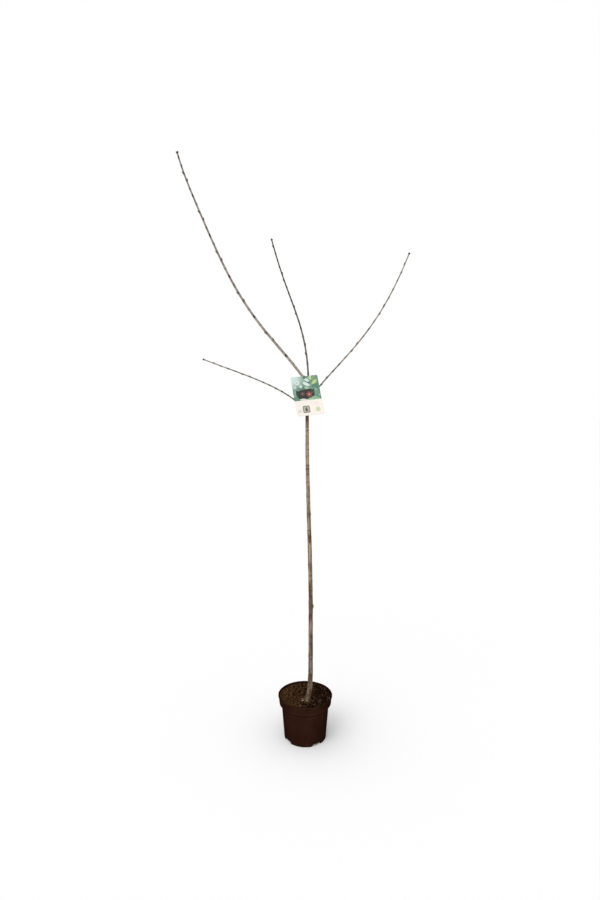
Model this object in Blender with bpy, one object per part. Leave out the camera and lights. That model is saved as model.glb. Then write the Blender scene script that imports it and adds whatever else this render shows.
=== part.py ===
"""A young potted cherry tree in its bare winter state: a slender grafted stem that carries four
unbranched whips set with buds, in a round nursery pot filled with soil, with a blank hang card.

Units are metres, +Z is up and the front is towards -Y. The origin is the middle of the pot's flat
underside. Every piece is one closed solid, and pieces that touch keep a small gap to each other.
"""
import math
from collections import namedtuple

import bmesh
import bpy
from mathutils import Matrix, Vector

# Clearance between pieces that touch on the real plant
GAP = 0.0003

# Pot: a tapered wall under a taller, wider rim band
POT_HEIGHT = 0.168
POT_RIM_RADIUS = 0.106
POT_THICKNESS = 0.002
POT_FLOOR_THICKNESS = 0.0025
WALL_FOOT_RADIUS = 0.0818
WALL_TOP_RADIUS = 0.0929
FOOT_BEVEL = 0.001
BAND_HEIGHT = 0.032
BAND_FOOT_RADIUS = 0.1014
LEDGE_SLOPE = 0.0015
LIP_HEIGHT = 0.005
LIP_WIDTH = 0.004
LIP_BEVEL = 0.001
ROUND_STEPS = 48

# Under the pot: a flat disc to stand on, and a ring channel between it and the wall's skirt
FOOT_DISC_RADIUS = 0.058
CHANNEL_HEIGHT = 0.0095
CHANNEL_DRAFT = 0.0010
SKIRT_WIDTH = 0.0028

# Drainage notches through the skirt, turned from the front towards the right
NOTCH_COUNT = 4
NOTCH_START = math.radians(-57)
NOTCH_WIDTH = 0.036
NOTCH_HEIGHT = 0.0082
NOTCH_DEPTH = 0.012

# Soil: a lumpy top that is level where the stem stands on it and rises towards the pot's wall
SOIL_TOP = 0.154
SOIL_LUMP = 0.0028
SOIL_WAVES = (
    (61, 47, 0.6, 0.38),
    (-38, 83, 2.1, 0.38),
    (127, -95, 4.0, 0.24),
)
SOIL_RISE = 0.0080
SOIL_RISE_START = 0.040
SOIL_RISE_BLEND = 0.055
SOIL_RINGS = 8
LEVEL_RADIUS = 0.030
LEVEL_BLEND = 0.020

# Stem: it leaves the soil in front of the pot's middle, bends at the graft and then leans back
STEM_FOOT_Y = -0.020
STEM_LOW_X = 0.0213
STEM_TOP_X = 0.0067
LEAN_START = 0.50
LEAN_END = 1.20
CROOK_SHIFT = 0.0172
CROOK_REACH = 0.026
DEPTH_REACH = 0.060
STEM_TOP = 1.405
STEM_LOW_RADIUS = 0.0092
STEM_TOP_RADIUS = 0.0064
FLARE_RADIUS = 0.0050
FLARE_REACH = 0.016
FLARE_LOBES = 3
FLARE_LOBE_SHARE = 0.30
FLARE_LOBE_TURN = math.radians(180)
STEM_SIDES = 16
STEM_RINGS = 42
STEM_RING_CROWDING = 1.6
TOP_CUT_DROP = 0.006
TOP_CUT_TURN = math.radians(160)

# Healed scars where side shoots were cut from the stem: height, compass angle in degrees, size
STEM_SCARS = (
    (0.236, 205, 0.0052),
    (0.523, 352, 0.0050),
    (0.690, 215, 0.0040),
    (0.884, 30, 0.0040),
    (1.060, 250, 0.0038),
    (1.253, 262, 0.0046),
)
SCAR_SHAPE = (0.8, 1.0, 1.3)
SCAR_SUNK = 0.52

# Whips: each is one tapering limb. It leaves the stem at the crotch's incline from the vertical and
# compass direction, which soon fade into a smooth change of incline (control values) and of direction.
# All are in degrees. A whip's row of side buds starts at a distance from the tip, with the first bud at a
# turn in degrees, and winds one way (1) or the other (-1)
BudRow = namedtuple("BudRow", "first spacing turn sense")
Whip = namedtuple("Whip", "name foot_height crotch incline compass length foot_radius tip_radius buds")
WHIPS = (
    Whip("bough_left_long", 1.390, (50, 160), (32, 61, 25, 14, 35, 15), (160, 165), 1.061, 0.0052, 0.0030,
         BudRow(0.024, 0.0321, 90, 1)),
    Whip("bough_centre", 1.375, (60, 50), (-5, 45, 46, 28, 23), (105, 128), 0.726, 0.0034, 0.0027,
         BudRow(0.039, 0.0345, 18, -1)),
    Whip("bough_right", 1.322, (55, -22), (36, 61, 28, 24), (-22, -32), 0.634, 0.0030, 0.0019,
         BudRow(0.040, 0.0298, 18, 1)),
    Whip("bough_left_low", 1.278, (50, 226), (54, 73, 77, 73), (226, 215), 0.485, 0.0027, 0.0017,
         BudRow(0.041, 0.0282, 162, 1)),
)
CROTCH_REACH = 0.020
COLLAR_SWELL = 0.0012
COLLAR_REACH = 0.010
WHIP_SIDES = 8
WHIP_STEPS = 400
RING_NEAR = 0.006
RING_FAR = 0.024
RING_NEAR_REACH = 0.060

# Buds, pressed close to the whip and set round it two turns in every five. Their length and radius are
# shares of the whip's tip radius, and each gap between them is a little longer than the one above it
BUD_LENGTH_SHARE = 3.9
BUD_RADIUS_SHARE = 1.05
BUD_SPREAD = math.radians(26)
BUD_SIDES = 6
BUD_SPACING_GROWTH = 1.010
BUD_TURN = math.radians(144)
BARE_FOOT = 0.050
BUD_SUNK_SHARE = 0.24
BUD_SEAT = 0.7
TIP_BUDS = 4
TIP_BUD_SIZE = 1.15
TIP_SIDE_BUD_SIZE = 1.0
TIP_BUD_SPREAD = math.radians(22)
TIP_SETBACK = 0.006
BUD_PROFILE = ((0.0, 0.62), (0.30, 1.0), (0.62, 0.78), (0.88, 0.30))

# Hang card: hung by its slot in front of the fork, its foot swung forward over the lowest whip
CARD_WIDTH = 0.104
CARD_HEIGHT = 0.151
CARD_THICKNESS = 0.0008
CARD_CORNER = 0.005
CARD_TOP_MIDDLE = Vector((-0.0068, -0.0260, 1.4090))
CARD_ROLL = math.radians(-6.4)
CARD_YAW = math.radians(13.3)
CARD_PITCH = math.radians(-15.5)
SLOT_WIDTH = 0.0085
SLOT_HEIGHT = 0.0050
SLOT_BELOW_TOP = 0.0050

# Strap: a flat loop round the foot of the long whip and through the card's slot
STRAP_WIDTH = 0.004
STRAP_THICKNESS = 0.0007
STRAP_WHIP_PLACE = 0.0165
STRAP_WHIP_RADIUS = 0.0086
STRAP_CARD_RADIUS = 0.0044
STRAP_SQUARE_TO_CARD = 2.0
STRAP_STEPS = 12

Paint = namedtuple("Paint", "name colour roughness")
BARK = Paint("bark", (0.235, 0.178, 0.128), 0.75)
TWIG = Paint("twig", (0.125, 0.085, 0.060), 0.60)
POT_PLASTIC = Paint("pot_plastic", (0.026, 0.0095, 0.0060), 0.42)
SOIL = Paint("soil", (0.030, 0.017, 0.010), 0.95)
CARD = Paint("card", (0.200, 0.340, 0.230), 0.35)
STRAP = Paint("strap", (0.060, 0.170, 0.080), 0.40)


def clear_scene():
    for thing in list(bpy.data.objects):
        bpy.data.objects.remove(thing)


def make_material(paint):
    material = bpy.data.materials.get(paint.name)
    if material:
        return material
    material = bpy.data.materials.new(paint.name)
    material.use_nodes = True
    shader = material.node_tree.nodes["Principled BSDF"]
    shader.inputs["Base Color"].default_value = (*paint.colour, 1.0)
    shader.inputs["Roughness"].default_value = paint.roughness
    shader.inputs["Metallic"].default_value = 0.0
    return material


def make_object(name, mesh_maker, paint=None):
    """Turns a finished bmesh into an object, with all its faces pointing out."""
    bmesh.ops.recalc_face_normals(mesh_maker, faces=mesh_maker.faces)
    mesh = bpy.data.meshes.new(name)
    mesh_maker.to_mesh(mesh)
    mesh_maker.free()
    thing = bpy.data.objects.new(name, mesh)
    bpy.context.collection.objects.link(thing)
    if paint:
        mesh.materials.append(make_material(paint))
    return thing


def apply_boolean(thing, operation, others):
    """Joins or cuts an object with a collection of others, keeps the result and removes them."""
    group = bpy.data.collections.new("boolean_operands")
    bpy.context.scene.collection.children.link(group)
    for other in others:
        group.objects.link(other)
    boolean = thing.modifiers.new("boolean", "BOOLEAN")
    boolean.operation = operation
    boolean.operand_type = "COLLECTION"
    boolean.collection = group
    boolean.solver = "EXACT"
    result = thing.evaluated_get(bpy.context.evaluated_depsgraph_get())
    mesh = bpy.data.meshes.new_from_object(result)
    thing.modifiers.clear()
    old_mesh = thing.data
    thing.data = mesh
    bpy.data.meshes.remove(old_mesh)
    for other in others:
        bpy.data.objects.remove(other)
    bpy.data.collections.remove(group)


def shade_round(thing, angle=40):
    thing.data.shade_smooth()
    thing.data.set_sharp_from_angle(angle=math.radians(angle))


def smooth_step(value):
    value = min(max(value, 0.0), 1.0)
    return value * value * (3.0 - 2.0 * value)


def tube(rings, pointed_end=None):
    """Closes a stack of point rings into one solid, flat at both ends or drawn to a point."""
    maker = bmesh.new()
    loops = [[maker.verts.new(point) for point in ring] for ring in rings]
    sides = len(loops[0])
    for lower, upper in zip(loops, loops[1:]):
        for i in range(sides):
            j = (i + 1) % sides
            maker.faces.new((lower[i], lower[j], upper[j], upper[i]))
    maker.faces.new(list(reversed(loops[0])))
    if pointed_end is None:
        maker.faces.new(loops[-1])
    else:
        tip = maker.verts.new(pointed_end)
        for i in range(sides):
            maker.faces.new((loops[-1][i], loops[-1][(i + 1) % sides], tip))
    return maker


def turned(profile):
    """Spins a closed half-section of (radius, height) points round the Z axis."""
    maker = bmesh.new()
    points = [maker.verts.new((radius, 0.0, height)) for radius, height in profile]
    edges = [maker.edges.new(pair) for pair in zip(points, points[1:])]
    bmesh.ops.spin(maker, geom=points + edges, cent=(0, 0, 0), axis=(0, 0, 1),
                   angle=math.tau, steps=ROUND_STEPS, use_merge=True)
    bmesh.ops.remove_doubles(maker, verts=maker.verts, dist=1e-6)
    return maker


def band_foot():
    return POT_HEIGHT - BAND_HEIGHT


def pot_inner_section():
    """The pot's inner face from the rim down to the floor, as (radius, height) points."""
    channel_top = CHANNEL_HEIGHT + POT_FLOOR_THICKNESS
    return (
        (POT_RIM_RADIUS - LIP_WIDTH, POT_HEIGHT - LIP_BEVEL),
        (BAND_FOOT_RADIUS - POT_THICKNESS, band_foot() + POT_THICKNESS),
        (WALL_TOP_RADIUS - POT_THICKNESS, band_foot() - LEDGE_SLOPE + POT_THICKNESS),
        (WALL_FOOT_RADIUS - POT_THICKNESS, channel_top),
        (FOOT_DISC_RADIUS - POT_THICKNESS, channel_top),
        (FOOT_DISC_RADIUS - 2 * POT_THICKNESS, POT_FLOOR_THICKNESS),
    )


def make_pot():
    lip_foot = POT_HEIGHT - LIP_HEIGHT
    outer = (
        (0.0, 0.0),
        (FOOT_DISC_RADIUS, 0.0),
        (FOOT_DISC_RADIUS + CHANNEL_DRAFT, CHANNEL_HEIGHT),
        (WALL_FOOT_RADIUS - SKIRT_WIDTH - CHANNEL_DRAFT, CHANNEL_HEIGHT),
        (WALL_FOOT_RADIUS - SKIRT_WIDTH, 0.0),
        (WALL_FOOT_RADIUS - FOOT_BEVEL, 0.0),
        (WALL_FOOT_RADIUS, FOOT_BEVEL),
        (WALL_TOP_RADIUS, band_foot() - LEDGE_SLOPE),
        (BAND_FOOT_RADIUS - LIP_BEVEL, band_foot()),
        (BAND_FOOT_RADIUS, band_foot() + LIP_BEVEL),
        (POT_RIM_RADIUS - 2 * LIP_BEVEL, lip_foot - LIP_BEVEL),
        (POT_RIM_RADIUS, lip_foot),
        (POT_RIM_RADIUS, POT_HEIGHT - LIP_BEVEL),
        (POT_RIM_RADIUS - LIP_BEVEL, POT_HEIGHT),
        (POT_RIM_RADIUS - LIP_WIDTH + LIP_BEVEL, POT_HEIGHT),
    )
    section = outer + pot_inner_section() + ((0.0, POT_FLOOR_THICKNESS),)
    pot = make_object("pot", turned(section), POT_PLASTIC)
    apply_boolean(pot, "DIFFERENCE", [notch_cutter(turn) for turn in notch_turns()])
    shade_round(pot)


def notch_turns():
    return [NOTCH_START + math.tau * number / NOTCH_COUNT for number in range(NOTCH_COUNT)]


def notch_cutter(turn):
    """A block across the pot's skirt. Its turn is counted from the front, to the right."""
    maker = bmesh.new()
    bmesh.ops.create_cube(maker, size=1.0)
    block = Matrix.Diagonal((NOTCH_WIDTH, 2 * NOTCH_DEPTH, 2 * NOTCH_HEIGHT, 1.0))
    place = Matrix.Rotation(turn, 4, "Z") @ Matrix.Translation((0.0, -WALL_FOOT_RADIUS, 0.0))
    bmesh.ops.transform(maker, matrix=place @ block, verts=maker.verts)
    return make_object("notch_cutter", maker)


def soil_height(x, y, radius):
    """Lumps and hollows of the soil's top, faded out to a level patch under the stem."""
    lumps = sum(share * math.sin(a * x + b * y + shift) for a, b, shift, share in SOIL_WAVES)
    from_stem = math.hypot(x, y - STEM_FOOT_Y)
    fade = smooth_step((from_stem - LEVEL_RADIUS) / LEVEL_BLEND)
    rise = SOIL_RISE * smooth_step((radius - SOIL_RISE_START) / SOIL_RISE_BLEND)
    return SOIL_TOP + fade * (SOIL_LUMP * lumps + rise)


def make_soil():
    """Fills the pot: the pot's inner section, drawn in by the gap, under a lumpy top."""
    rim, shelf_out, *lower_section = pot_inner_section()
    band_lean = (rim[0] - shelf_out[0]) / (rim[1] - shelf_out[1])
    side = [(radius - GAP, height + GAP) for radius, height in reversed(lower_section)]
    side.append((shelf_out[0] - 2 * GAP, shelf_out[1] + GAP))
    maker = bmesh.new()
    rings = []
    for radius, height in side:
        rings.append([maker.verts.new(round_point(radius, step, height)) for step in range(ROUND_STEPS)])
    for number in range(SOIL_RINGS, 0, -1):
        radius = shelf_out[0] * number / SOIL_RINGS
        ring = []
        for step in range(ROUND_STEPS):
            x, y, _ = round_point(radius, step, 0.0)
            height = soil_height(x, y, radius)
            reach = radius
            if number == SOIL_RINGS:
                reach += band_lean * (height - shelf_out[1]) - 2 * GAP
            ring.append(maker.verts.new(round_point(reach, step, height)))
        rings.append(ring)
    for lower, upper in zip(rings, rings[1:]):
        for i in range(ROUND_STEPS):
            j = (i + 1) % ROUND_STEPS
            maker.faces.new((lower[i], lower[j], upper[j], upper[i]))
    floor_middle = maker.verts.new((0.0, 0.0, side[0][1]))
    top_middle = maker.verts.new((0.0, 0.0, soil_height(0.0, 0.0, 0.0)))
    for i in range(ROUND_STEPS):
        j = (i + 1) % ROUND_STEPS
        maker.faces.new((rings[0][j], rings[0][i], floor_middle))
        maker.faces.new((rings[-1][i], rings[-1][j], top_middle))
    shade_round(make_object("soil", maker, SOIL), 30)


def round_point(radius, step, height):
    turn = math.tau * step / ROUND_STEPS
    return (radius * math.cos(turn), radius * math.sin(turn), height)


def stem_centre(height):
    above = height - SOIL_TOP
    lean = smooth_step((height - LEAN_START) / (LEAN_END - LEAN_START))
    x = STEM_LOW_X + (STEM_TOP_X - STEM_LOW_X) * lean - CROOK_SHIFT * math.exp(-above / CROOK_REACH)
    y = STEM_FOOT_Y * math.exp(-above / DEPTH_REACH)
    return Vector((x, y, height))


def stem_radius(height, turn):
    above = height - SOIL_TOP
    taper = STEM_LOW_RADIUS + (STEM_TOP_RADIUS - STEM_LOW_RADIUS) * above / (STEM_TOP - SOIL_TOP)
    flare = FLARE_RADIUS * math.exp(-above / FLARE_REACH)
    lobes = 1.0 + FLARE_LOBE_SHARE * math.cos(FLARE_LOBES * (turn - FLARE_LOBE_TURN))
    return taper + flare * lobes


def stem_rings(swell=0.0):
    """Rings of the stem from its level foot to the slanting cut at its top."""
    rings = []
    for number in range(STEM_RINGS + 1):
        share = (number / STEM_RINGS) ** STEM_RING_CROWDING
        height = SOIL_TOP + GAP + (STEM_TOP - SOIL_TOP - GAP) * share
        middle = stem_centre(height)
        ring = []
        for side in range(STEM_SIDES):
            turn = math.tau * side / STEM_SIDES
            drop = 0.0
            if number == STEM_RINGS:
                drop = TOP_CUT_DROP * (1.0 - math.cos(turn - TOP_CUT_TURN)) / 2.0
            reach = stem_radius(height, turn) + swell
            ring.append(middle + Vector((reach * math.cos(turn), reach * math.sin(turn), -drop)))
        rings.append(ring)
    return rings


def make_scar(height, compass, size):
    """A low dome, mostly sunk into the stem, drawn out a little along it."""
    turn = math.radians(compass)
    maker = bmesh.new()
    bmesh.ops.create_uvsphere(maker, u_segments=8, v_segments=5, radius=1.0)
    reach = stem_radius(height, turn) - size * SCAR_SUNK
    place = stem_centre(height) + Vector((reach * math.cos(turn), reach * math.sin(turn), 0.0))
    facing = Matrix.Translation(place) @ Matrix.Rotation(turn, 4, "Z")
    shape = Matrix.Diagonal([share * size for share in SCAR_SHAPE] + [1.0])
    bmesh.ops.transform(maker, matrix=facing @ shape, verts=maker.verts)
    return make_object("scar", maker)


def make_stem():
    stem = make_object("trunk", tube(stem_rings()), BARK)
    apply_boolean(stem, "UNION", [make_scar(*scar) for scar in STEM_SCARS])
    shade_round(stem, 50)


def eased(values, share):
    """A smooth run through control values: it starts at the first and ends at the last (Bernstein's rule)."""
    degree = len(values) - 1
    return sum(math.comb(degree, number) * value * share ** number * (1.0 - share) ** (degree - number)
               for number, value in enumerate(values))


def whip_curve(whip):
    """Evenly spaced points of a whip's centre line, from the stem's middle to its tip."""
    step = whip.length / WHIP_STEPS
    directions = []
    for number in range(WHIP_STEPS + 1):
        share = number / WHIP_STEPS
        near = math.exp(-share * whip.length / CROTCH_REACH)
        incline = math.radians(eased(whip.incline, share) + (whip.crotch[0] - whip.incline[0]) * near)
        compass = math.radians(eased(whip.compass, share) + (whip.crotch[1] - whip.compass[0]) * near)
        flat = math.sin(incline)
        directions.append(Vector((flat * math.cos(compass), flat * math.sin(compass), math.cos(incline))))
    points = [Vector((stem_centre(whip.foot_height).x, 0.0, whip.foot_height))]
    for before, after in zip(directions, directions[1:]):
        points.append(points[-1] + (before + after) * step / 2.0)
    return points


def whip_frame(curve, whip, distance):
    """The point at a distance along a whip, with its direction and two sides square to it."""
    place = min(max(distance / whip.length, 0.0), 1.0) * WHIP_STEPS
    number = min(int(place), WHIP_STEPS - 1)
    point = curve[number].lerp(curve[number + 1], place - number)
    along = (curve[number + 1] - curve[number]).normalized()
    aside = along.cross(Vector((0.0, 1.0, 0.0))).normalized()
    return point, along, aside, along.cross(aside)


def whip_radius(whip, distance):
    share = distance / whip.length
    return (whip.foot_radius + (whip.tip_radius - whip.foot_radius) * share
            + COLLAR_SWELL * math.exp(-distance / COLLAR_REACH))


def ring_places(whip):
    """Distances of a whip's rings, close together where it bends out of the crotch."""
    places = [0.0]
    end = whip.length - TIP_SETBACK
    while places[-1] < end - RING_FAR:
        near = smooth_step(places[-1] / RING_NEAR_REACH)
        places.append(places[-1] + RING_NEAR + (RING_FAR - RING_NEAR) * near)
    return places + [end]


def make_bud(point, along, outward, spread, length, radius):
    """A pointed bud that leaves the whip's surface at a small angle, its base sunk in the wood."""
    axis = (along * math.cos(spread) + outward * math.sin(spread)).normalized()
    side = axis.cross(outward).normalized()
    other = axis.cross(side)
    base = point - axis * length * BUD_SUNK_SHARE
    rings = []
    for share, width in BUD_PROFILE:
        middle = base + axis * length * share
        ring = []
        for number in range(BUD_SIDES):
            turn = math.tau * number / BUD_SIDES
            reach = radius * width
            ring.append(middle + side * reach * math.cos(turn) + other * reach * math.sin(turn))
        rings.append(ring)
    return make_object("bud", tube(rings, base + axis * length))


def whip_buds(whip, curve):
    length = BUD_LENGTH_SHARE * whip.tip_radius
    radius = BUD_RADIUS_SHARE * whip.tip_radius
    buds = []
    turn = math.radians(whip.buds.turn)
    spacing = whip.buds.spacing
    behind_tip = whip.buds.first
    while behind_tip < whip.length - BARE_FOOT:
        distance = whip.length - behind_tip
        point, along, aside, across = whip_frame(curve, whip, distance)
        outward = aside * math.cos(turn) + across * math.sin(turn)
        surface = point + outward * whip_radius(whip, distance) * BUD_SEAT
        buds.append(make_bud(surface, along, outward, BUD_SPREAD, length, radius))
        behind_tip += spacing
        spacing *= BUD_SPACING_GROWTH
        turn += whip.buds.sense * BUD_TURN
    point, along, aside, across = whip_frame(curve, whip, whip.length - TIP_SETBACK)
    buds.append(make_bud(point, along, aside, 0.0, length * TIP_BUD_SIZE, radius * TIP_BUD_SIZE))
    for number in range(TIP_BUDS - 1):
        turn = math.radians(whip.buds.turn) + math.tau * (number + 0.5) / (TIP_BUDS - 1)
        outward = aside * math.cos(turn) + across * math.sin(turn)
        surface = point + outward * whip.tip_radius * BUD_SEAT
        buds.append(make_bud(surface, along, outward, TIP_BUD_SPREAD, length * TIP_SIDE_BUD_SIZE,
                             radius * TIP_SIDE_BUD_SIZE))
    return buds


def make_whip(whip):
    """One tapering limb with its buds fused on, its foot hollowed to sit round the stem."""
    curve = whip_curve(whip)
    rings = []
    for distance in ring_places(whip):
        point, _, aside, across = whip_frame(curve, whip, distance)
        reach = whip_radius(whip, distance)
        turns = [math.tau * side / WHIP_SIDES for side in range(WHIP_SIDES)]
        rings.append([point + (aside * math.cos(turn) + across * math.sin(turn)) * reach for turn in turns])
    limb = make_object(whip.name, tube(rings), TWIG)
    apply_boolean(limb, "UNION", whip_buds(whip, curve))
    apply_boolean(limb, "DIFFERENCE", [make_object("stem_cutter", tube(stem_rings(GAP)))])
    shade_round(limb, 50)


def card_place():
    """The hang card's own frame: its origin in the middle of the card's top edge, its face to -Y."""
    turn = (Matrix.Rotation(CARD_YAW, 4, "Z") @ Matrix.Rotation(CARD_PITCH, 4, "X")
            @ Matrix.Rotation(CARD_ROLL, 4, "Y"))
    return Matrix.Translation(CARD_TOP_MIDDLE) @ turn


def hanging_block(width, thickness, height, below):
    """A block whose top edge lies a distance below the origin."""
    maker = bmesh.new()
    bmesh.ops.create_cube(maker, size=1.0)
    place = Matrix.Translation((0.0, 0.0, -below - height / 2))
    size = Matrix.Diagonal((width, thickness, height, 1.0))
    bmesh.ops.transform(maker, matrix=place @ size, verts=maker.verts)
    return maker


def runs_through(edge):
    """True for a block's edge that runs from its front to its back."""
    return abs(edge.verts[0].co.y - edge.verts[1].co.y) > CARD_THICKNESS / 2


def make_card():
    maker = hanging_block(CARD_WIDTH, CARD_THICKNESS, CARD_HEIGHT, 0.0)
    corners = [edge for edge in maker.edges if runs_through(edge)]
    bmesh.ops.bevel(maker, geom=corners, offset=CARD_CORNER, segments=4, profile=0.5, affect="EDGES")
    card = make_object("label", maker, CARD)
    slot = hanging_block(SLOT_WIDTH, 4 * CARD_THICKNESS, SLOT_HEIGHT, SLOT_BELOW_TOP)
    apply_boolean(card, "DIFFERENCE", [make_object("slot_cutter", slot)])
    card.data.transform(card_place())


def strap_ring():
    """Middle, direction and outward side at each step of the belt round the whip and the card's edge."""
    whip = WHIPS[0]
    whip_point, along, _, _ = whip_frame(whip_curve(whip), whip, STRAP_WHIP_PLACE)
    card_point = card_place() @ Vector((0.0, 0.0, -SLOT_BELOW_TOP / 2))
    run = card_point - whip_point
    aside = Vector((STRAP_SQUARE_TO_CARD, 0.0, 0.0)) - along
    aside = (aside - run * aside.dot(run) / run.length_squared).normalized()
    forward = run.normalized()
    up = aside.cross(forward)
    lean = math.asin((STRAP_WHIP_RADIUS - STRAP_CARD_RADIUS) / run.length)
    spots = []
    for middle, radius, start, end in (
        (card_point, STRAP_CARD_RADIUS, -math.pi / 2 + lean, math.pi / 2 - lean),
        (whip_point, STRAP_WHIP_RADIUS, math.pi / 2 - lean, 3 * math.pi / 2 + lean),
    ):
        for step in range(STRAP_STEPS + 1):
            turn = start + (end - start) * step / STRAP_STEPS
            outward = forward * math.cos(turn) + up * math.sin(turn)
            spots.append((middle + outward * radius, outward))
    return spots, aside


def make_strap():
    spots, aside = strap_ring()
    maker = bmesh.new()
    loops = []
    for middle, outward in spots:
        corners = []
        for across, out in ((-1, -1), (1, -1), (1, 1), (-1, 1)):
            corners.append(maker.verts.new(middle + aside * across * STRAP_WIDTH / 2
                                           + outward * out * STRAP_THICKNESS / 2))
        loops.append(corners)
    for before, after in zip(loops, loops[1:] + loops[:1]):
        for i in range(4):
            j = (i + 1) % 4
            maker.faces.new((before[i], before[j], after[j], after[i]))
    shade_round(make_object("label_strap", maker, STRAP))


def main():
    clear_scene()
    make_pot()
    make_soil()
    make_stem()
    for whip in WHIPS:
        make_whip(whip)
    make_card()
    make_strap()


main()
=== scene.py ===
"""Dresses the potted cherry tree: bark with its relief, scaled buds, moulded pot, crumbly soil, card.

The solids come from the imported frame. The stem's and the whips' lines follow the same rules and named
sizes as the part's source, written again here, so each dressed piece lies where its solid is.
"""
import math
import random

import bmesh
import bpy
import numpy as np
from mathutils import Matrix, Vector, noise


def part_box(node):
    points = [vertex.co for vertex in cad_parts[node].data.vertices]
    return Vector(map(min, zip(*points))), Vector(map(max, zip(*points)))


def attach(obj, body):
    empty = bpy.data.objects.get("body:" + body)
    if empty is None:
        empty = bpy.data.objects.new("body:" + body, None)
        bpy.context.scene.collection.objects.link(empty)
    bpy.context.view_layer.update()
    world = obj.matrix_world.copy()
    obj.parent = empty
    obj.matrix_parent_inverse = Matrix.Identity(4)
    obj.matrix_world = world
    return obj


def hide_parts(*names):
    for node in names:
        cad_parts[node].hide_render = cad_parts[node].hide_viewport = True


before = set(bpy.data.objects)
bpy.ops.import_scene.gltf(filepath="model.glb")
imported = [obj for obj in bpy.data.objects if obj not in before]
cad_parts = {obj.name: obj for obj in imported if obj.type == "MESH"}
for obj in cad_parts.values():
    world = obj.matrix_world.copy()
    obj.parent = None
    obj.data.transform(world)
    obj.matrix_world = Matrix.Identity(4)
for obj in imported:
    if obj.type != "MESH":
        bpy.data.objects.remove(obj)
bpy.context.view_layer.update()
_, pot_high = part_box("pot")
stem_low, stem_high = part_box("trunk")

# Camera, as fitted to the pot's rim, its foot and the whips
CAMERA_PLACE = (-0.0205, -2.1, 1.3)
CAMERA_DOWN = math.radians(4.58)
CAMERA_FOCAL_PIXELS = 554.6
PHOTO_HEIGHT_PIXELS = 900
SENSOR_LONG_SIDE = 36.0

# Studio
SURROUND_STRENGTH = 1.0
FILL_FROM = (-0.55, -0.7, 0.45)
FILL_NEAR = 1.22
FILL_FAR = 0.36
KEY_STRENGTH = 0.85
KEY_FROM = (-0.55, -0.8, 1.0)
KEY_ANGLE = math.radians(45)
FLOOR_SHADE = 0.9
FLOOR_HALF = 60.0

# Directions that the finishes measure along
UPWARD = (0.0, 0.0, 1.0)
SIDEWAYS = (1.0, 0.0, 0.0)

# Pot. Its height and its rim's radius come from the frame
POT_HEIGHT = pot_high.z
POT_RIM_RADIUS = pot_high.x
WALL_FOOT_RADIUS = 0.0818
WALL_TOP_RADIUS = 0.0929
BAND_FOOT_RADIUS = 0.1014
BAND_FOOT = POT_HEIGHT - 0.032
RING_HEIGHT = 0.1208
LEDGE_SLOPE = 0.0015
LIP_HEIGHT = 0.005
LIP_WIDTH = 0.004
POT_SKIN = 0.0016
POT_FLOOR = 0.0025
POT_SEGMENTS = 288
POT_SECTION_STEP = 0.0045
POT_OUT_OF_ROUND = 0.00012
POT_SHARP_EDGE = math.radians(38)
FOOT_DISC_RADIUS = 0.058
CHANNEL_HEIGHT = 0.0095
CHANNEL_DRAFT = 0.001
SKIRT_WIDTH = 0.0028
NOTCH_TURNS = [math.radians(-57 + 90 * number) for number in range(4)]
NOTCH_WIDTH = 0.036
NOTCH_HEIGHT = 0.0082
NOTCH_DEPTH = 0.012
NOTCH_CORNER = 0.003
ARCH_HEIGHT = 0.024
ARCH_DEPTH = 0.0009
ARCH_HALF_WIDTH = NOTCH_WIDTH / 2 + 0.004
ARCH_BLEND = 0.004
ARCH_INWARD = 0.006

# Soil. Waves: turns along x and y, shift, share of the lumps' height. Roughness: scale and height
STEM_GAP = 0.0003
SOIL_TOP = stem_low.z - STEM_GAP
SOIL_LUMP = 0.0028
SOIL_WAVES = ((61, 47, 0.6, 0.38), (-38, 83, 2.1, 0.38), (127, -95, 4.0, 0.24))
SOIL_RISE = 0.008
SOIL_RISE_START = 0.04
SOIL_RISE_BLEND = 0.055
SOIL_PIT = (-0.0078, -0.06)
SOIL_PIT_SIZE = 0.012
SOIL_PIT_DEPTH = 0.011
SOIL_GAP = 0.0004
SOIL_EDGE_GAP = 0.0006
LEVEL_RADIUS = 0.03
LEVEL_BLEND = 0.02
SOIL_ROUGHNESS = ((64, 0.0021), (240, 0.0009))
SOIL_SIDES = 320
SOIL_RINGS = 110
HEAP_HEIGHT = 0.0022
HEAP_RADIUS = 0.013
HEAP_WIDTH = 0.01
# The side where the soil is darker: peaty earth there, with painted shade over it and over the loose bits
PEATY_SHADED_SIDE = (1.0, -0.4, 0.0)

# Stem. Roughness: scale, height, stretch. Pores: number, half width, half height, how proud. Root ridges:
# compass in degrees, width in radians, height. Rings of the sawn top: share of the radius, drop, paleness.
# Scars: height, compass in degrees, size, stain, share of the size hollowed out. Skin rings: height
STEM_FOOT_Y = -0.02
STEM_LOW_X = 0.0213
STEM_TOP_X = 0.0067
LEAN_START = 0.5
LEAN_END = 1.2
CROOK_SHIFT = 0.0172
CROOK_REACH = 0.026
DEPTH_REACH = 0.06
STEM_TOP = stem_high.z
STEM_LOW_RADIUS = 0.0092
STEM_TOP_RADIUS = 0.0064
FLARE_RADIUS = 0.005
FLARE_REACH = 0.016
FLARE_LOBES = 3
FLARE_LOBE_SHARE = 0.3
FLARE_LOBE_TURN = math.radians(180)
TOP_CUT_DROP = 0.006
TOP_CUT_TURN = math.radians(160)
TOP_CUT_REACH = 0.024
STEM_SIDES = 48
SKIN_STEP = 0.0008
STEM_ROUGHNESS = ((38, 0.00045, 1.0), (420, 0.00012, 0.25))
STEM_PORES = (520, 0.0017, 0.0007, 0.00042)
STEM_SEED = 11
ROOT_RIDGE_REACH = 0.009
GRAFT_HEIGHT = 0.052
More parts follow.
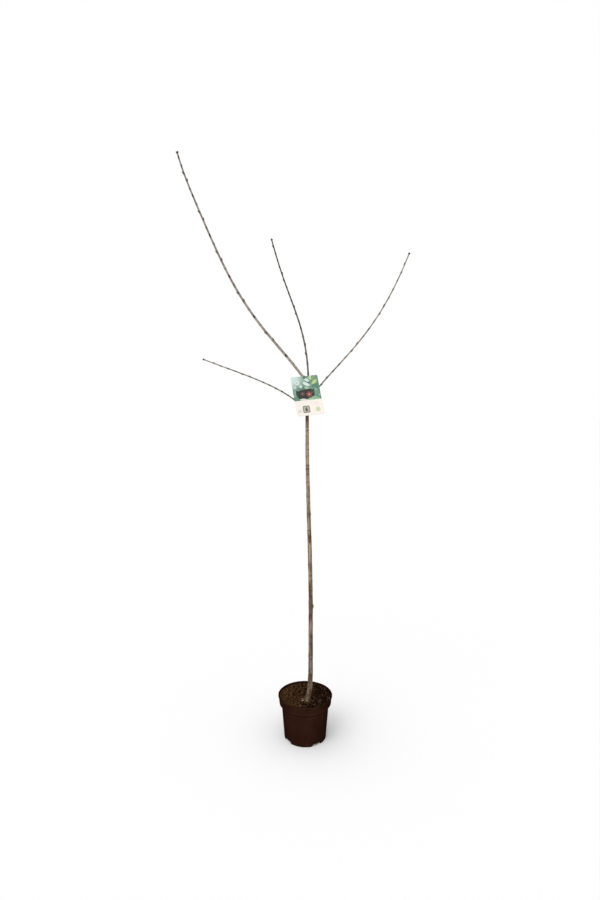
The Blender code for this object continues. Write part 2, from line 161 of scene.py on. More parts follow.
GRAFT_SLANT = 0.006
GRAFT_TURN = 3.6
GRAFT_REACH = 0.011
GRAFT_SWELL = 0.0006
FORK_SWELL = 0.001
ROOT_RIDGES = (
    (188, 0.34, 0.0032), (262, 0.3, 0.0024), (330, 0.36, 0.002), (45, 0.32, 0.0024), (115, 0.36, 0.0026),
)
TOP_RINGS = (
    (0.96, -0.0005, 0.0), (0.88, -0.0007, 0.0), (0.8, 0.0002, 0.7),
    (0.55, 0.0004, 1.0), (0.3, 0.0005, 1.0), (0.1, 0.0008, 0.5),
)
STEM_SCARS = (
    (0.236, 205, 0.0052, 0.6, 0.34),
    (0.523, 352, 0.007, 0.5, 0.08),
    (0.69, 215, 0.004, 0.4, 0.34),
    (0.884, 30, 0.004, 0.3, 0.34),
    (1.06, 250, 0.0038, 0.6, 0.34),
    (1.253, 262, 0.0046, 0.9, 0.34),
)
SKIN_RINGS = (0.331, 0.812, 1.184)

# Whips: name, foot height, crotch's incline and compass, inclines, compasses, length, foot radius,
# tip radius, buds. Buds: the first one's distance from the tip, spacing, turn and sense of turning.
# Tones: the colours at the foot and at the tip; the centre whip's darker tones are partly its own bark and
# partly painted shade, for the whip at the back. Pore: half width, half height, how proud
WHIPS = (
    ("left_long", 1.39, (50, 160), (32, 61, 25, 14, 35, 15), (160, 165), 1.061, 0.0052, 0.003,
     (0.024, 0.0321, 90, 1)),
    ("centre", 1.375, (60, 50), (-5, 45, 46, 28, 23), (105, 128), 0.726, 0.0034, 0.0027,
     (0.039, 0.0345, 18, -1)),
    ("right", 1.322, (55, -22), (36, 61, 28, 24), (-22, -32), 0.634, 0.003, 0.0019,
     (0.04, 0.0298, 18, 1)),
    ("left_low", 1.278, (50, 226), (54, 73, 77, 73), (226, 215), 0.485, 0.0027, 0.0017,
     (0.041, 0.0282, 162, 1)),
)
WHIP_TONES = {
    "left_long": ((0.3, 0.25, 0.208), (0.195, 0.174, 0.156)),
    # Partly painted shade: the centre whip stands at the back
    "centre": ((0.15, 0.12, 0.1), (0.05, 0.045, 0.04)),
    "right": ((0.24, 0.208, 0.166), (0.275, 0.25, 0.21)),
    "left_low": ((0.18, 0.155, 0.112), (0.295, 0.268, 0.225)),
}
CROTCH_REACH = 0.02
COLLAR_SWELL = 0.0012
COLLAR_REACH = 0.01
WHIP_STEPS = 400
WHIP_SIDES = 24
WHIP_PORES_PER_AREA = 16000
WHIP_PORE = (0.0006, 0.0009, 0.0002)
WHIP_SEED = 5
BUD_SCALES = 9
BUD_LENGTH_SHARE = 3.9
BUD_RADIUS_SHARE = 1.05
BUD_SPREAD = math.radians(26)
BUD_SPACING_GROWTH = 1.01
BUD_TURN = math.radians(144)
BARE_FOOT = 0.05
BUD_SUNK_SHARE = 0.24
BUD_SEAT = 0.7
TIP_BUDS = 4
TIP_BUD_SIZE = 1.15
TIP_SIDE_BUD_SIZE = 1.0
TIP_BUD_SPREAD = math.radians(22)
TIP_SETBACK = 0.006

# Litter on the soil: name, dark and light colour, number, smallest and largest size, shape, roughness,
# how deep it is sunk, and which side it keeps to
LITTER_SEED = 23
LITTER_REACH = 0.0985
FIBRE_REACH = 0.088
FIBRE_TURN_BACK = 0.094
FIBRE_COUNT = 130
STEM_CLEARANCE = 0.0145
ROUND_LUMP = (1.0, 0.85, 0.7)
LITTER = (
    ("crumbs_dark", (0.006, 0.0031, 0.0019), (0.028, 0.0135, 0.0078), 700, (0.001, 0.0052),
     ROUND_LUMP, 0.22, 0.35, 0.8),
    ("crumbs_brown", (0.026, 0.011, 0.0046), (0.092, 0.044, 0.0185), 480, (0.001, 0.0048),
     ROUND_LUMP, 0.22, 0.35, -0.6),
    ("crumbs_olive", (0.028, 0.017, 0.006), (0.084, 0.054, 0.021), 200, (0.0009, 0.004),
     ROUND_LUMP, 0.22, 0.35, -0.9),
    ("bark_bits", (0.044, 0.015, 0.007), (0.125, 0.052, 0.026), 150, (0.0016, 0.005),
     (1.6, 0.7, 0.28), 0.14, 0.3, -0.4),
    ("clods", (0.008, 0.0035, 0.002), (0.132, 0.066, 0.033), 210, (0.0026, 0.0072),
     (1.0, 0.85, 0.62), 0.26, 0.5, -0.2),
    ("grit_pale", (0.2, 0.16, 0.125), (0.44, 0.375, 0.31), 60, (0.0007, 0.0017),
     ROUND_LUMP, 0.16, 0.15, 0.4),
)

# Card and strap. Leaves: colour, middle, length and width in millimetres, turn in degrees
CARD_WIDTH = 0.104
CARD_HEIGHT = 0.151
CARD_SHEET = 0.0005
CARD_CORNER = 0.005
CARD_STEP = 0.002
CARD_SIDE_CURL = 0.003
CARD_FOOT_CURL = 0.0035
CARD_BEND_SHIFT = 0.0015
CARD_TOP_MIDDLE = Vector((-0.0068, -0.026, 1.409))
CARD_TURN = (
    Matrix.Rotation(math.radians(13.3), 4, "Z")
    @ Matrix.Rotation(math.radians(-15.5), 4, "X")
    @ Matrix.Rotation(math.radians(-6.4), 4, "Y")
)
CARD_PLACE = Matrix.Translation(CARD_TOP_MIDDLE) @ CARD_TURN
SLOT_WIDTH = 0.0085
SLOT_HEIGHT = 0.005
SLOT_BELOW_TOP = 0.005
CARD_GREEN = (0.07, 0.178, 0.11)
CARD_CREAM = (0.8, 0.745, 0.68)
CARD_SPRIG = (
    ((0.3, 0.47, 0.35), 58, 104, 28, 12, 152),
    ((0.075, 0.2, 0.125), 84, 110, 28, 12, 28),
    ((0.6, 0.72, 0.66), 56, 120, 30, 12, 150),
    ((0.42, 0.53, 0.22), 88, 126, 28, 12, 34),
    ((0.54, 0.67, 0.6), 60, 136, 26, 11, 146),
    ((0.19, 0.33, 0.14), 86, 141, 24, 10, 40),
    ((0.48, 0.59, 0.3), 75, 144, 20, 9, 84),
)
CARD_LOW_LEAVES = (
    ((0.2, 0.39, 0.21), 84, 64, 34, 14, -16),
    ((0.3, 0.48, 0.31), 62, 61, 28, 10, 10),
    ((0.56, 0.61, 0.56), 36, 61, 32, 9, -6),
    ((0.09, 0.23, 0.15), 12, 66, 26, 12, -34),
)
STRAP_WIDTH = 0.004
STRAP_THICKNESS = 0.0007
STRAP_WHIP_PLACE = 0.0165
STRAP_WHIP_RADIUS = 0.0086
STRAP_CARD_RADIUS = 0.0044
STRAP_SQUARE_TO_CARD = 2.0


# Shape helpers

def smooth_step(value):
    value = np.clip(value, 0.0, 1.0)
    return value * value * (3.0 - 2.0 * value)


def hill(value):
    """A smooth bump: 1 in the middle, and next to nothing from two widths away."""
    return np.exp(-value ** 2)


def unit(vectors):
    return vectors / np.linalg.norm(vectors, axis=-1, keepdims=True)


def turn_between(turn, other):
    """The signed angle from one turn to another, between half a turn either way."""
    return (turn - other + math.pi) % math.tau - math.pi


def full_turn(sides):
    return np.linspace(0, math.tau, sides, endpoint=False)


def polar(radius, turn, height):
    """Points at a radius, a turn and a height: an array whose last axis is x, y, z."""
    return np.stack(np.broadcast_arrays(radius * np.cos(turn), radius * np.sin(turn), height), axis=-1)


def around(aside, across, turn):
    """The directions square to each step of a line, at each turn round it."""
    return aside[:, None, :] * np.cos(turn)[:, None] + across[:, None, :] * np.sin(turn)[:, None]


def surface_noise(points, scale, octaves=3):
    """Fractal noise at each point of a (..., 3) array, roughly between -1 and 1."""
    flat = points.reshape(-1, 3) * scale
    values = [noise.fractal(point, 0.9, 2.1, octaves) for point in flat.tolist()]
    return np.array(values).reshape(points.shape[:-1])


def make_mesh(name, points, faces, marks=None):
    """A smooth mesh from points, a list of face arrays and any marks, with one value a point."""
    mesh = bpy.data.meshes.new(name)
    mesh.from_pydata(points, [], [face for group in faces for face in np.asarray(group).tolist()])
    for label, values in (marks or {}).items():
        mesh.attributes.new(label, "FLOAT", "POINT").data.foreach_set("value", values.astype(np.float32))
    mesh.validate()
    mesh.shade_smooth()
    return mesh


def ring_quads(rings, sides):
    """Quads between neighbouring rings of a tube whose points are stored ring by ring."""
    row = np.arange(rings - 1)[:, None] * sides
    side = np.arange(sides)[None, :]
    after = (side + 1) % sides
    quads = np.stack([row + side, row + after, row + sides + after, row + sides + side], axis=-1)
    return quads.reshape(-1, 4)


def closed_tube(points):
    """All the points and faces of a tube of shape (rings, sides, 3), closed by a fan at each end."""
    rings, sides, _ = points.shape
    ends = np.stack([points[0].mean(0), points[-1].mean(0)])
    side = np.arange(sides)
    after = (side + 1) % sides
    last = (rings - 1) * sides
    foot = np.stack([after, side, np.full(sides, rings * sides)], axis=-1)
    head = np.stack([last + side, last + after, np.full(sides, rings * sides + 1)], axis=-1)
    faces = [ring_quads(rings, sides), np.concatenate([foot, head])]
    return np.concatenate([points.reshape(-1, 3), ends]), faces


def padded(values):
    """A grid of values with two more for a closed tube's end points."""
    return np.concatenate([values.ravel(), [values[0].mean(), values[-1].mean()]])


def joined(stacks):
    """The points and faces of many closed tubes, to make one piece."""
    points, tubes, fans = [], [], []
    offset = 0
    for stack in stacks:
        everything, (tube, ends) = closed_tube(stack)
        points.append(everything)
        tubes.append(tube + offset)
        fans.append(ends + offset)
        offset += len(everything)
    return np.concatenate(points), [np.concatenate(tubes), np.concatenate(fans)]


def add_object(name, data):
    """Puts a mesh, camera or light in the scene."""
    thing = bpy.data.objects.new(name, data)
    bpy.context.collection.objects.link(thing)
    return thing


def show(name, shape, finish, body_slot, *replaced, marks=None, sharp=None):
    """Makes points and faces, with any marks for the finish, into a piece of the plant's one body."""
    mesh = make_mesh(name, *shape, marks)
    if sharp:
        mesh.set_sharp_from_angle(angle=math.radians(sharp))
    mesh.materials.append(finish)
    piece = add_object(name, mesh)
    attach(piece, "root")
    if replaced:
        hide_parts(*replaced)
    return piece


# Finishes

def fill_socket(tree, socket, value):
    """Links an output to a socket, or writes a plain value into it."""
    if isinstance(value, bpy.types.NodeSocket):
        tree.links.new(value, socket)
    elif socket.type == "RGBA":
        socket.default_value = (*value, 1.0)
    else:
        socket.default_value = value


def add_node(tree, kind, output, inputs, **settings):
    """Adds a node with its settings and inputs, and gives one of its outputs."""
    node = tree.nodes.new("ShaderNode" + kind)
    for name, setting in settings.items():
        setattr(node, name, setting)
    for key, value in inputs.items():
        fill_socket(tree, node.inputs[key], value)
    return node.outputs[output]


class Finish:
    """A Principled material, laid colour over colour, with procedural patterns and relief."""

    def __init__(self, name, roughness, specular, colour):
        self.material = bpy.data.materials.new(name)
        self.material.use_nodes = True
        self.tree = self.material.node_tree
        self.sockets = self.tree.nodes["Principled BSDF"].inputs
        self.sockets["Roughness"].default_value = roughness
        self.sockets["Specular IOR Level"].default_value = specular
        self.place = self.node("TexCoord", "Object", {})
        self.colour = colour

    def node(self, kind, output, inputs, **settings):
        return add_node(self.tree, kind, output, inputs, **settings)

    def math(self, operation, first, second=0.0):
        return self.node("Math", 0, {0: first, 1: second}, operation=operation)

    def vector(self, operation, first, second=(0.0, 0.0, 0.0)):
        """Vector arithmetic, where a length or a dot product gives a number."""
        output = "Value" if operation in ("LENGTH", "DOT_PRODUCT") else "Vector"
        return self.node("VectorMath", output, {0: first, 1: second}, operation=operation)

    def noise(self, scale, detail=3.0, stretch=(1.0, 1.0, 1.0)):
        place = self.node("Mapping", "Vector", {"Vector": self.place, "Scale": stretch})
        return self.node("TexNoise", "Fac", {"Vector": place, "Scale": scale, "Detail": detail})

    def attribute(self, name):
        return self.node("Attribute", "Fac", {}, attribute_name=name)

    def band(self, value, low, high, start=0.0, end=1.0):
        """Eases from start to end as the value goes from low to high."""
        inputs = {"Value": value, "From Min": low, "From Max": high, "To Min": start, "To Max": end}
        return self.node("MapRange", "Result", inputs, interpolation_type="SMOOTHSTEP")

    def toward(self, direction, source=None):
        """How far a place, or another vector, goes along a direction."""
        return self.vector("DOT_PRODUCT", source or self.place, direction)

    def facing(self, direction):
        """1 where the surface looks along a direction, and 0 where it looks away."""
        return self.band(self.toward(direction, self.node("NewGeometry", "True Normal", {})), -0.1, 0.1)

    def mix(self, first, second, share):
        return self.node("Mix", 2, {0: share, 6: first, 7: second}, data_type="RGBA")

    def lay(self, colour, mask, share=1.0):
        """Puts a share of a colour over what is there, inside a mask."""
        self.colour = self.mix(self.colour, colour, self.math("MULTIPLY", mask, share))

    def shade(self, factor):
        """Makes what is there darker or lighter by a factor."""
        self.colour = self.node("VectorMath", 0, {0: self.colour, "Scale": factor}, operation="SCALE")

    def made(self, relief=None, depth=0.0, strength=1.0, gloss=None):
        """The material, once its colour and any relief and varying roughness are linked."""
        fill_socket(self.tree, self.sockets["Base Color"], self.colour)
        if relief:
            bump = self.node("Bump", "Normal", {"Height": relief, "Distance": depth, "Strength": strength})
            fill_socket(self.tree, self.sockets["Normal"], bump)
        if gloss:
            fill_socket(self.tree, self.sockets["Roughness"], gloss)
        return self.material


def bark_finish():
    """Grey-brown young bark: silvery skin over brown, darker near the soil, pale corky lenticels."""
    finish = Finish("bark_finish", 0.75, 0.03, (0.098, 0.058, 0.032))
    height = finish.toward(UPWARD)
    streaks = finish.noise(95, 4, (1.0, 1.0, 0.16))
    hoops = finish.noise(60, 3, (0.5, 0.5, 2.4))
    patches = finish.noise(17, 2, (1.0, 1.0, 0.5))
    finish.lay((0.35, 0.268, 0.196), finish.band(streaks, 0.38, 0.6))
    finish.lay((0.225, 0.18, 0.138), finish.band(patches, 0.45, 0.62), 0.55)
    finish.lay((0.085, 0.05, 0.029), finish.band(hoops, 0.53, 0.64), 0.8)
    finish.shade(finish.band(height, 0.18, 0.95, 0.62, 1.06))
    finish.lay((0.078, 0.048, 0.024), finish.band(height, SOIL_TOP + 0.004, SOIL_TOP + 0.09, 1.0, 0.0), 0.42)
    for mark, share, colour in (
        ("stain", 0.8, (0.072, 0.036, 0.016)),
        ("lenticel", 0.7, (0.33, 0.225, 0.135)),
        ("scar", 1.0, (0.04, 0.024, 0.016)),
        ("cut", 1.0, (0.42, 0.3, 0.17)),
    ):
        finish.lay(colour, finish.attribute(mark), share)
    relief = finish.math("ADD", streaks, finish.math("MULTIPLY", finish.noise(420, 3), 0.5))
    return finish.made(relief, 0.0004, 0.6, finish.band(streaks, 0.3, 0.7, 0.82, 0.6))


def twig_finish(name, low, high):
    """Smooth grey skin over olive-brown, with small pale lenticels and dark nodes under the buds."""
    finish = Finish("twig_finish_" + name, 0.6, 0.05, low)
    film = finish.noise(110, 4, (1.0, 1.0, 0.5))
    finish.lay(high, finish.attribute("along"))
    finish.shade(finish.band(film, 0.36, 0.62, 0.72, 1.2))
    finish.lay((0.12, 0.094, 0.058), finish.band(finish.noise(23, 2), 0.46, 0.62), 0.3)
    finish.lay((0.38, 0.3, 0.215), finish.attribute("lenticel"), 0.5)
    finish.lay((0.02, 0.012, 0.009), finish.attribute("scar"))
    return finish.made(film, 0.0003, 0.5, finish.band(film, 0.3, 0.7, 0.7, 0.5))


def bud_finish():
    """Dark chestnut scales with paler, drier edges."""
    finish = Finish("bud_finish", 0.5, 0.15, (0.009, 0.0045, 0.0032))
    mottle = finish.noise(300, 3)
    finish.lay((0.024, 0.012, 0.008), finish.band(mottle, 0.35, 0.65))
    finish.lay((0.066, 0.043, 0.03), finish.attribute("edge"), 0.5)
    return finish.made(mottle, 0.0002, 0.4)


def pot_finish():
    """Dark red-brown moulded plastic with a fine grain, soil dust under the lip and splashes below, darker
    towards the bottom, with painted highlights on the band's foot and the ring, painted shade under the
    band's ledge, and painted shade on its left and right sides.
    """
    finish = Finish("pot_finish", 0.55, 0.0, (0.0225, 0.008, 0.0048))
    height = finish.toward(UPWARD)
    film = finish.noise(26, 4, (1.0, 1.0, 0.6))
    finish.lay((0.0285, 0.0104, 0.0064), finish.band(film, 0.35, 0.65))
    high = finish.band(height, BAND_FOOT - 0.004, POT_HEIGHT, 0.0, 0.4)
    low = finish.band(height, 0.0, 0.035, 0.45, 0.0)
    dust = finish.band(finish.noise(140, 5), 0.48, 0.66)
    finish.lay((0.056, 0.031, 0.018), finish.math("MULTIPLY", finish.math("ADD", high, low), dust))
    finish.shade(finish.band(height, 0.0, 0.11, 0.82, 1.0))
    # Painted light along the band: a painted highlight on the band's rounded foot, painted shade on the wall
    # under the ledge, and a painted highlight on the ring below it
    for middle, half, gain in (
        (BAND_FOOT + 0.0028, 0.0032, 0.5),
        (BAND_FOOT - 0.0106, 0.0032, -0.26),
        (RING_HEIGHT, 0.0028, 0.34),
    ):
        far = finish.math("ABSOLUTE", finish.math("SUBTRACT", height, middle))
        finish.shade(finish.band(far, 0.3 * half, half, 1.0 + gain, 1.0))
    # Painted shade: the pot's left and right sides darker than its front and back
    aside = finish.math("ABSOLUTE", finish.toward(SIDEWAYS))
    finish.shade(finish.band(aside, 0.015, 0.09, 1.0, 0.64))
    return finish.made(finish.noise(900, 2), 0.0001, 0.35, finish.band(film, 0.3, 0.7, 0.58, 0.42))


def earth_grain(finish, clod_scale):
    """How light each spot of earth is, from its clods and its grit, and the grit by itself."""
    grit = finish.noise(900, 3)
    clods = finish.band(finish.noise(clod_scale, 4), 0.38, 0.62, 0.0, 0.7)
    return finish.math("ADD", clods, finish.band(grit, 0.45, 0.7, 0.0, 0.3)), grit


def earth_finish(name, dark, light):
    """Loose bits of earth, with painted shade on the pot's peaty side."""
    finish = Finish(name + "_finish", 0.95, 0.0, dark)
    share, grit = earth_grain(finish, 130)
    finish.lay(light, share)
    # Painted shade on the pot's peaty side
    finish.shade(finish.band(finish.toward(PEATY_SHADED_SIDE), -0.02, 0.08, 1.0, 0.66))
    return finish.made(grit, 0.0004, 0.8)


def soil_finish():
    """Damp peaty compost: brown with olive, mossy patches on one side, and near black on the other, from
    peaty earth with painted shade over it, and painted shade in the hole.
    """
    finish = Finish("soil_finish", 0.95, 0.0, (0.008, 0.0036, 0.0018))
    share, grit = earth_grain(finish, 150)
    patches = finish.noise(34, 3)
    finish.lay((0.095, 0.0435, 0.019), share)
    finish.lay((0.046, 0.032, 0.011), finish.band(patches, 0.52, 0.64), 0.5)
    # Near black towards the peaty side: peaty earth, with painted shade in it
    side = finish.math("ADD", finish.toward(PEATY_SHADED_SIDE), finish.math("MULTIPLY", patches, 0.06))
    peaty = finish.mix((0.0036, 0.0018, 0.0012), (0.032, 0.016, 0.01), share)
    finish.lay(peaty, finish.band(side, -0.005, 0.085))
    # Painted shade in the hole by the front wall
    finish.shade(finish.band(finish.attribute("hollow"), 0.0, 1.0, 1.0, 0.1))
    return finish.made(grit, 0.0004, 0.8)


def strap_finish():
    """Soft green plastic with a slight mottle."""
    finish = Finish("strap_finish", 0.4, 0.4, (0.03, 0.11, 0.045))
    tone = finish.noise(300, 2)
    finish.lay((0.07, 0.19, 0.085), finish.band(tone, 0.35, 0.65))
    return finish.made(tone, 0.0001, 0.3)


# Stem

def stem_centre(height):
    above = height - SOIL_TOP
    lean = smooth_step((height - LEAN_START) / (LEAN_END - LEAN_START))
    x = STEM_LOW_X + (STEM_TOP_X - STEM_LOW_X) * lean - CROOK_SHIFT * np.exp(-above / CROOK_REACH)
    y = STEM_FOOT_Y * np.exp(-above / DEPTH_REACH)
    return np.stack([x, y, height + 0.0 * above], axis=-1)


def stem_radius(height, turn):
    above = height - SOIL_TOP
    taper = STEM_LOW_RADIUS + (STEM_TOP_RADIUS - STEM_LOW_RADIUS) * above / (STEM_TOP - SOIL_TOP)
    flare = FLARE_RADIUS * np.exp(-above / FLARE_REACH)
    return taper + flare * (1.0 + FLARE_LOBE_SHARE * np.cos(FLARE_LOBES * (turn - FLARE_LOBE_TURN)))


def add_lenticels(relief, mask, along, turn, radius, rng, count, half_wide, half_high, proud):
    """Raises small lens-shaped pores on a tube's grid and marks them in the mask."""
    step = along[1] - along[0]
    for _ in range(count):
        place = rng.uniform(along[0], along[-1])
        middle = rng.uniform(0, math.tau)
        size = rng.uniform(0.6, 1.35)
        first = max(0, int((place - along[0] - 3 * half_high) / step))
        rows = slice(first, min(len(along), first + int(6 * half_high / step) + 2))
        across = turn_between(turn, middle) * radius / (half_wide * size)
        up = (along[rows, None] - place) / (half_high * rng.uniform(0.8, 1.2))
        bump = hill(across) * hill(up)
        relief[rows] += proud * size * bump
        mask[rows] = np.maximum(mask[rows], bump)


def make_stem(finish):
    """The stem with root ridges, graft swelling, lenticels, shoot scars and the sawn top."""
    height = np.linspace(SOIL_TOP + STEM_GAP, STEM_TOP, int((STEM_TOP - SOIL_TOP) / SKIN_STEP))
    turn = full_turn(STEM_SIDES)
    h, t = np.meshgrid(height, turn, indexing="ij")
    above = h - SOIL_TOP
    relief, lenticel, scar, stain = np.zeros((4, *h.shape))
    for scale, proud, stretch in STEM_ROUGHNESS:
        relief += proud * surface_noise(polar(0.008, t, h) * (1.0, 1.0, stretch), scale, 2)
    for compass, width, proud in ROOT_RIDGES:
        near = hill(turn_between(t, math.radians(compass)) / width)
        relief += proud * near * np.exp(-above / ROOT_RIDGE_REACH)
    graft_side = np.cos(t - GRAFT_TURN)
    graft = hill((above - GRAFT_HEIGHT - GRAFT_SLANT * graft_side) / GRAFT_REACH)
    relief += GRAFT_SWELL * graft * (1.0 + 0.6 * graft_side)
    for _, foot, (_, compass), *_ in WHIPS:
        near = hill(turn_between(t, math.radians(compass)) / 0.8)
        relief += FORK_SWELL * near * hill((h - foot - 0.003) / 0.009)
    for place, compass, size, stained, hollow in STEM_SCARS:
        across = turn_between(t, math.radians(compass)) * STEM_LOW_RADIUS / size
        far = across ** 2 + ((h - place) / (size * 1.2)) ** 2
        relief += 0.55 * size * np.exp(-far * 1.4) - hollow * size * np.exp(-far * 7.0)
        relief += 0.00035 * hill((h - place + size * 1.4) / 0.0008) * hill(across / 2.2)
        scar = np.maximum(scar, 0.85 * np.exp(-far * 5.0))
        stain = np.maximum(stain, stained * hill(across / 2.6) * hill((h - place + 0.004) / 0.02))
    for place in SKIN_RINGS:
        relief += 0.0003 * hill((h - place - 0.0005 * np.sin(3 * t)) / 0.001)
    add_lenticels(relief, lenticel, height, turn, STEM_LOW_RADIUS, random.Random(STEM_SEED), *STEM_PORES)
    points = stem_centre(h) + polar(stem_radius(h, t) + relief, t, 0.0)
    slope = TOP_CUT_DROP * (1.0 - np.cos(turn - TOP_CUT_TURN)) / 2.0
    points[..., 2] -= smooth_step((h - STEM_TOP + TOP_CUT_REACH) / TOP_CUT_REACH) * slope
    middle = points[-1].mean(0)
    rims = [middle + (points[-1] - middle) * share - (0.0, 0.0, drop) for share, drop, _ in TOP_RINGS]
    marks = {"lenticel": lenticel, "scar": scar, "stain": stain, "cut": np.zeros_like(h)}
    marks = {name: np.pad(values, ((0, len(rims)), (0, 0))) for name, values in marks.items()}
    marks["cut"][-len(rims):] = [[pale] for _, _, pale in TOP_RINGS]
    marks = {name: padded(values) for name, values in marks.items()}
    show("stem_bark", closed_tube(np.concatenate([points, rims])), finish, "bark", "trunk", marks=marks)


# Whips and buds

def eased(values, share):
    """A smooth run from the first control value to the last, drawn towards those between."""
    degree = len(values) - 1
    return sum(math.comb(degree, number) * value * share ** number * (1.0 - share) ** (degree - number)
               for number, value in enumerate(values))


class Whip:
    """A whip's centre line and the places of its buds, by the rule of the part's source."""

    def __init__(self, name, foot_height, crotch, incline, compass, length, foot_radius, tip_radius, buds):
        self.name = name
        self.length = length
        self.foot_radius = foot_radius
        self.tip_radius = tip_radius
        self.first_bud, self.bud_spacing, bud_turn, self.bud_sense = buds
        self.bud_turn = math.radians(bud_turn)
        share = np.linspace(0, 1, WHIP_STEPS + 1)
        near = np.exp(-share * length / CROTCH_REACH)
        lean = np.radians(eased(incline, share) + (crotch[0] - incline[0]) * near)
        side = np.radians(eased(compass, share) + (crotch[1] - compass[0]) * near)
        self.heading = polar(np.sin(lean), side, np.cos(lean))
        start = np.array([stem_centre(foot_height)[0], 0.0, foot_height])
        steps = (self.heading[1:] + self.heading[:-1]) * length / WHIP_STEPS / 2
        self.line = np.concatenate([[start], start + np.cumsum(steps, axis=0)])
        self.marks = share * length

    def frame(self, distance):
        """Points along the whip, their direction and two sides square to it, at an array of distances."""
        point, along = (
            np.stack([np.interp(distance, self.marks, column) for column in values.T], axis=-1)
            for values in (self.line, self.heading)
        )
        along = unit(along)
        aside = unit(np.cross(along, (0.0, 1.0, 0.0)))
        return point, along, aside, np.cross(along, aside)

    def radius(self, distance):
        taper = self.foot_radius + (self.tip_radius - self.foot_radius) * distance / self.length
        return taper + COLLAR_SWELL * np.exp(-distance / COLLAR_REACH)

    def bud_places(self):
        """Distance from the foot and turn round the whip of each side bud, from the tip down."""
        behind_tip = self.first_bud
        spacing = self.bud_spacing
        turn = self.bud_turn
        while behind_tip < self.length - BARE_FOOT:
            yield self.length - behind_tip, turn
            behind_tip += spacing
            spacing *= BUD_SPACING_GROWTH
            turn += self.bud_sense * BUD_TURN


def make_whip(whip, finish, rng):
    """A whip's skin: swollen at each bud, with its leaf scar below, and lenticels."""
    distance = np.arange(0.0, whip.length - TIP_SETBACK, SKIN_STEP)
    turn = full_turn(WHIP_SIDES)
    d, t = np.meshgrid(distance, turn, indexing="ij")
    point, _, aside, across = whip.frame(distance)
    relief, lenticel, scar = np.zeros((3, *d.shape))
    for place, bud_turn in whip.bud_places():
        facing = turn_between(t, bud_turn)
        relief += 0.00075 * hill((d - place + 0.0022) / 0.0034) * hill(facing / 1.1)
        relief += 0.0003 * hill((d - place + 0.001) / 0.0045)
        shelf = hill((d - place + 0.0042) / 0.0012) * hill(facing / 0.6)
        relief += 0.00045 * shelf
        node = hill((d - place + 0.0015) / 0.005) * (0.35 + 0.65 * hill(facing / 1.3))
        scar = np.maximum(scar, np.maximum(0.8 * shelf, 0.75 * node))
    relief += 0.0005 * hill((d - whip.length + TIP_SETBACK) / 0.004)
    count = int(math.tau * whip.foot_radius * whip.length * WHIP_PORES_PER_AREA)
    add_lenticels(relief, lenticel, distance, turn, whip.foot_radius, rng, count, *WHIP_PORE)
    outward = around(aside, across, turn)
    relief += 0.00016 * surface_noise(point[:, None, :] + outward * 0.004, 90, 2)
    shape = closed_tube(point[:, None, :] + outward * (whip.radius(d) + relief)[..., None])
    marks = {"lenticel": padded(lenticel), "scar": padded(scar), "along": padded(d / whip.length)}
    show("whip_" + whip.name, shape, finish, "twig", "bough_" + whip.name, marks=marks)


def bud_shape():
    """Points of one bud of unit size, with overlapping scales, and how near each is to an edge."""
    t = np.linspace(0.0, 0.995, 26)[:, None]
    turn = full_turn(20)
    body = (0.62 + 0.38 * smooth_step(t / 0.32)) * (1.0 - t ** 2.4) ** 0.85
    layers = edge = np.zeros((len(t), len(turn)))
    for number in range(BUD_SCALES):
        facing = turn_between(turn, math.radians(137.5 * number)) / 1.35
        covers = np.abs(facing) < 1.0
        rim = (0.3 + 0.075 * number) * (1.0 - 0.75 * facing ** 2)
        layers = layers + smooth_step((rim - t) / 0.035) * covers
        edge = np.maximum(edge, hill((rim - t) / 0.03) * covers)
    return polar(body * (0.86 + 0.03 * layers), turn, t), edge


def make_buds(whip, finish, template, edge, rng):
    """All of a whip's buds as one piece, each sunk in the wood at its place and a little different."""
    top = whip.length - TIP_SETBACK
    places = [(place, turn, BUD_SPREAD, 1.0) for place, turn in whip.bud_places()]
    places.append((top, 0.0, None, TIP_BUD_SIZE))
    for number in range(TIP_BUDS - 1):
        side_turn = whip.bud_turn + math.tau * (number + 0.5) / (TIP_BUDS - 1)
        places.append((top, side_turn, TIP_BUD_SPREAD, TIP_SIDE_BUD_SIZE))
    stacks = []
    for place, turn, spread, size in places:
        seat, axis, aside, across = (value[0] for value in whip.frame(np.array([place])))
        outward = aside * math.cos(turn) + across * math.sin(turn)
        if spread is not None:
            lean = spread * rng.uniform(0.8, 1.25)
            axis = axis * math.cos(lean) + outward * math.sin(lean)
            seat = seat + outward * whip.radius(place) * BUD_SEAT
        full_length = BUD_LENGTH_SHARE * whip.tip_radius * size
        length = full_length * rng.uniform(0.88, 1.0)
        width = BUD_RADIUS_SHARE * whip.tip_radius * size * rng.uniform(0.9, 1.0)
        spin = rng.uniform(0, math.tau)
        side = unit(np.cross(axis, outward))
        side = side * math.cos(spin) + np.cross(axis, side) * math.sin(spin)
        sides = np.stack([side * width, np.cross(axis, side) * width, axis * length])
        stacks.append(seat - axis * full_length * BUD_SUNK_SHARE + template @ sides)
    edges = np.tile(padded(edge), len(stacks))
    show("buds_" + whip.name, joined(stacks), finish, "twig", marks={"edge": edges})


# Pot

def rounded(corners, steps=6):
    """A path through (radius, height, corner size) points, each corner eased by a short curve."""
    path = []
    for number, (x, z, size) in enumerate(corners):
        here = np.array([x, z])
        if size == 0:
            path.append(here)
            continue
        start, end = (
            here + unit(np.array(corners[number + step][:2]) - here) * size for step in (-1, 1)
        )
        for share in np.linspace(0, 1, steps):
            path.append(start * (1 - share) ** 2 + 2 * here * share * (1 - share) + end * share ** 2)
    return np.array(path)


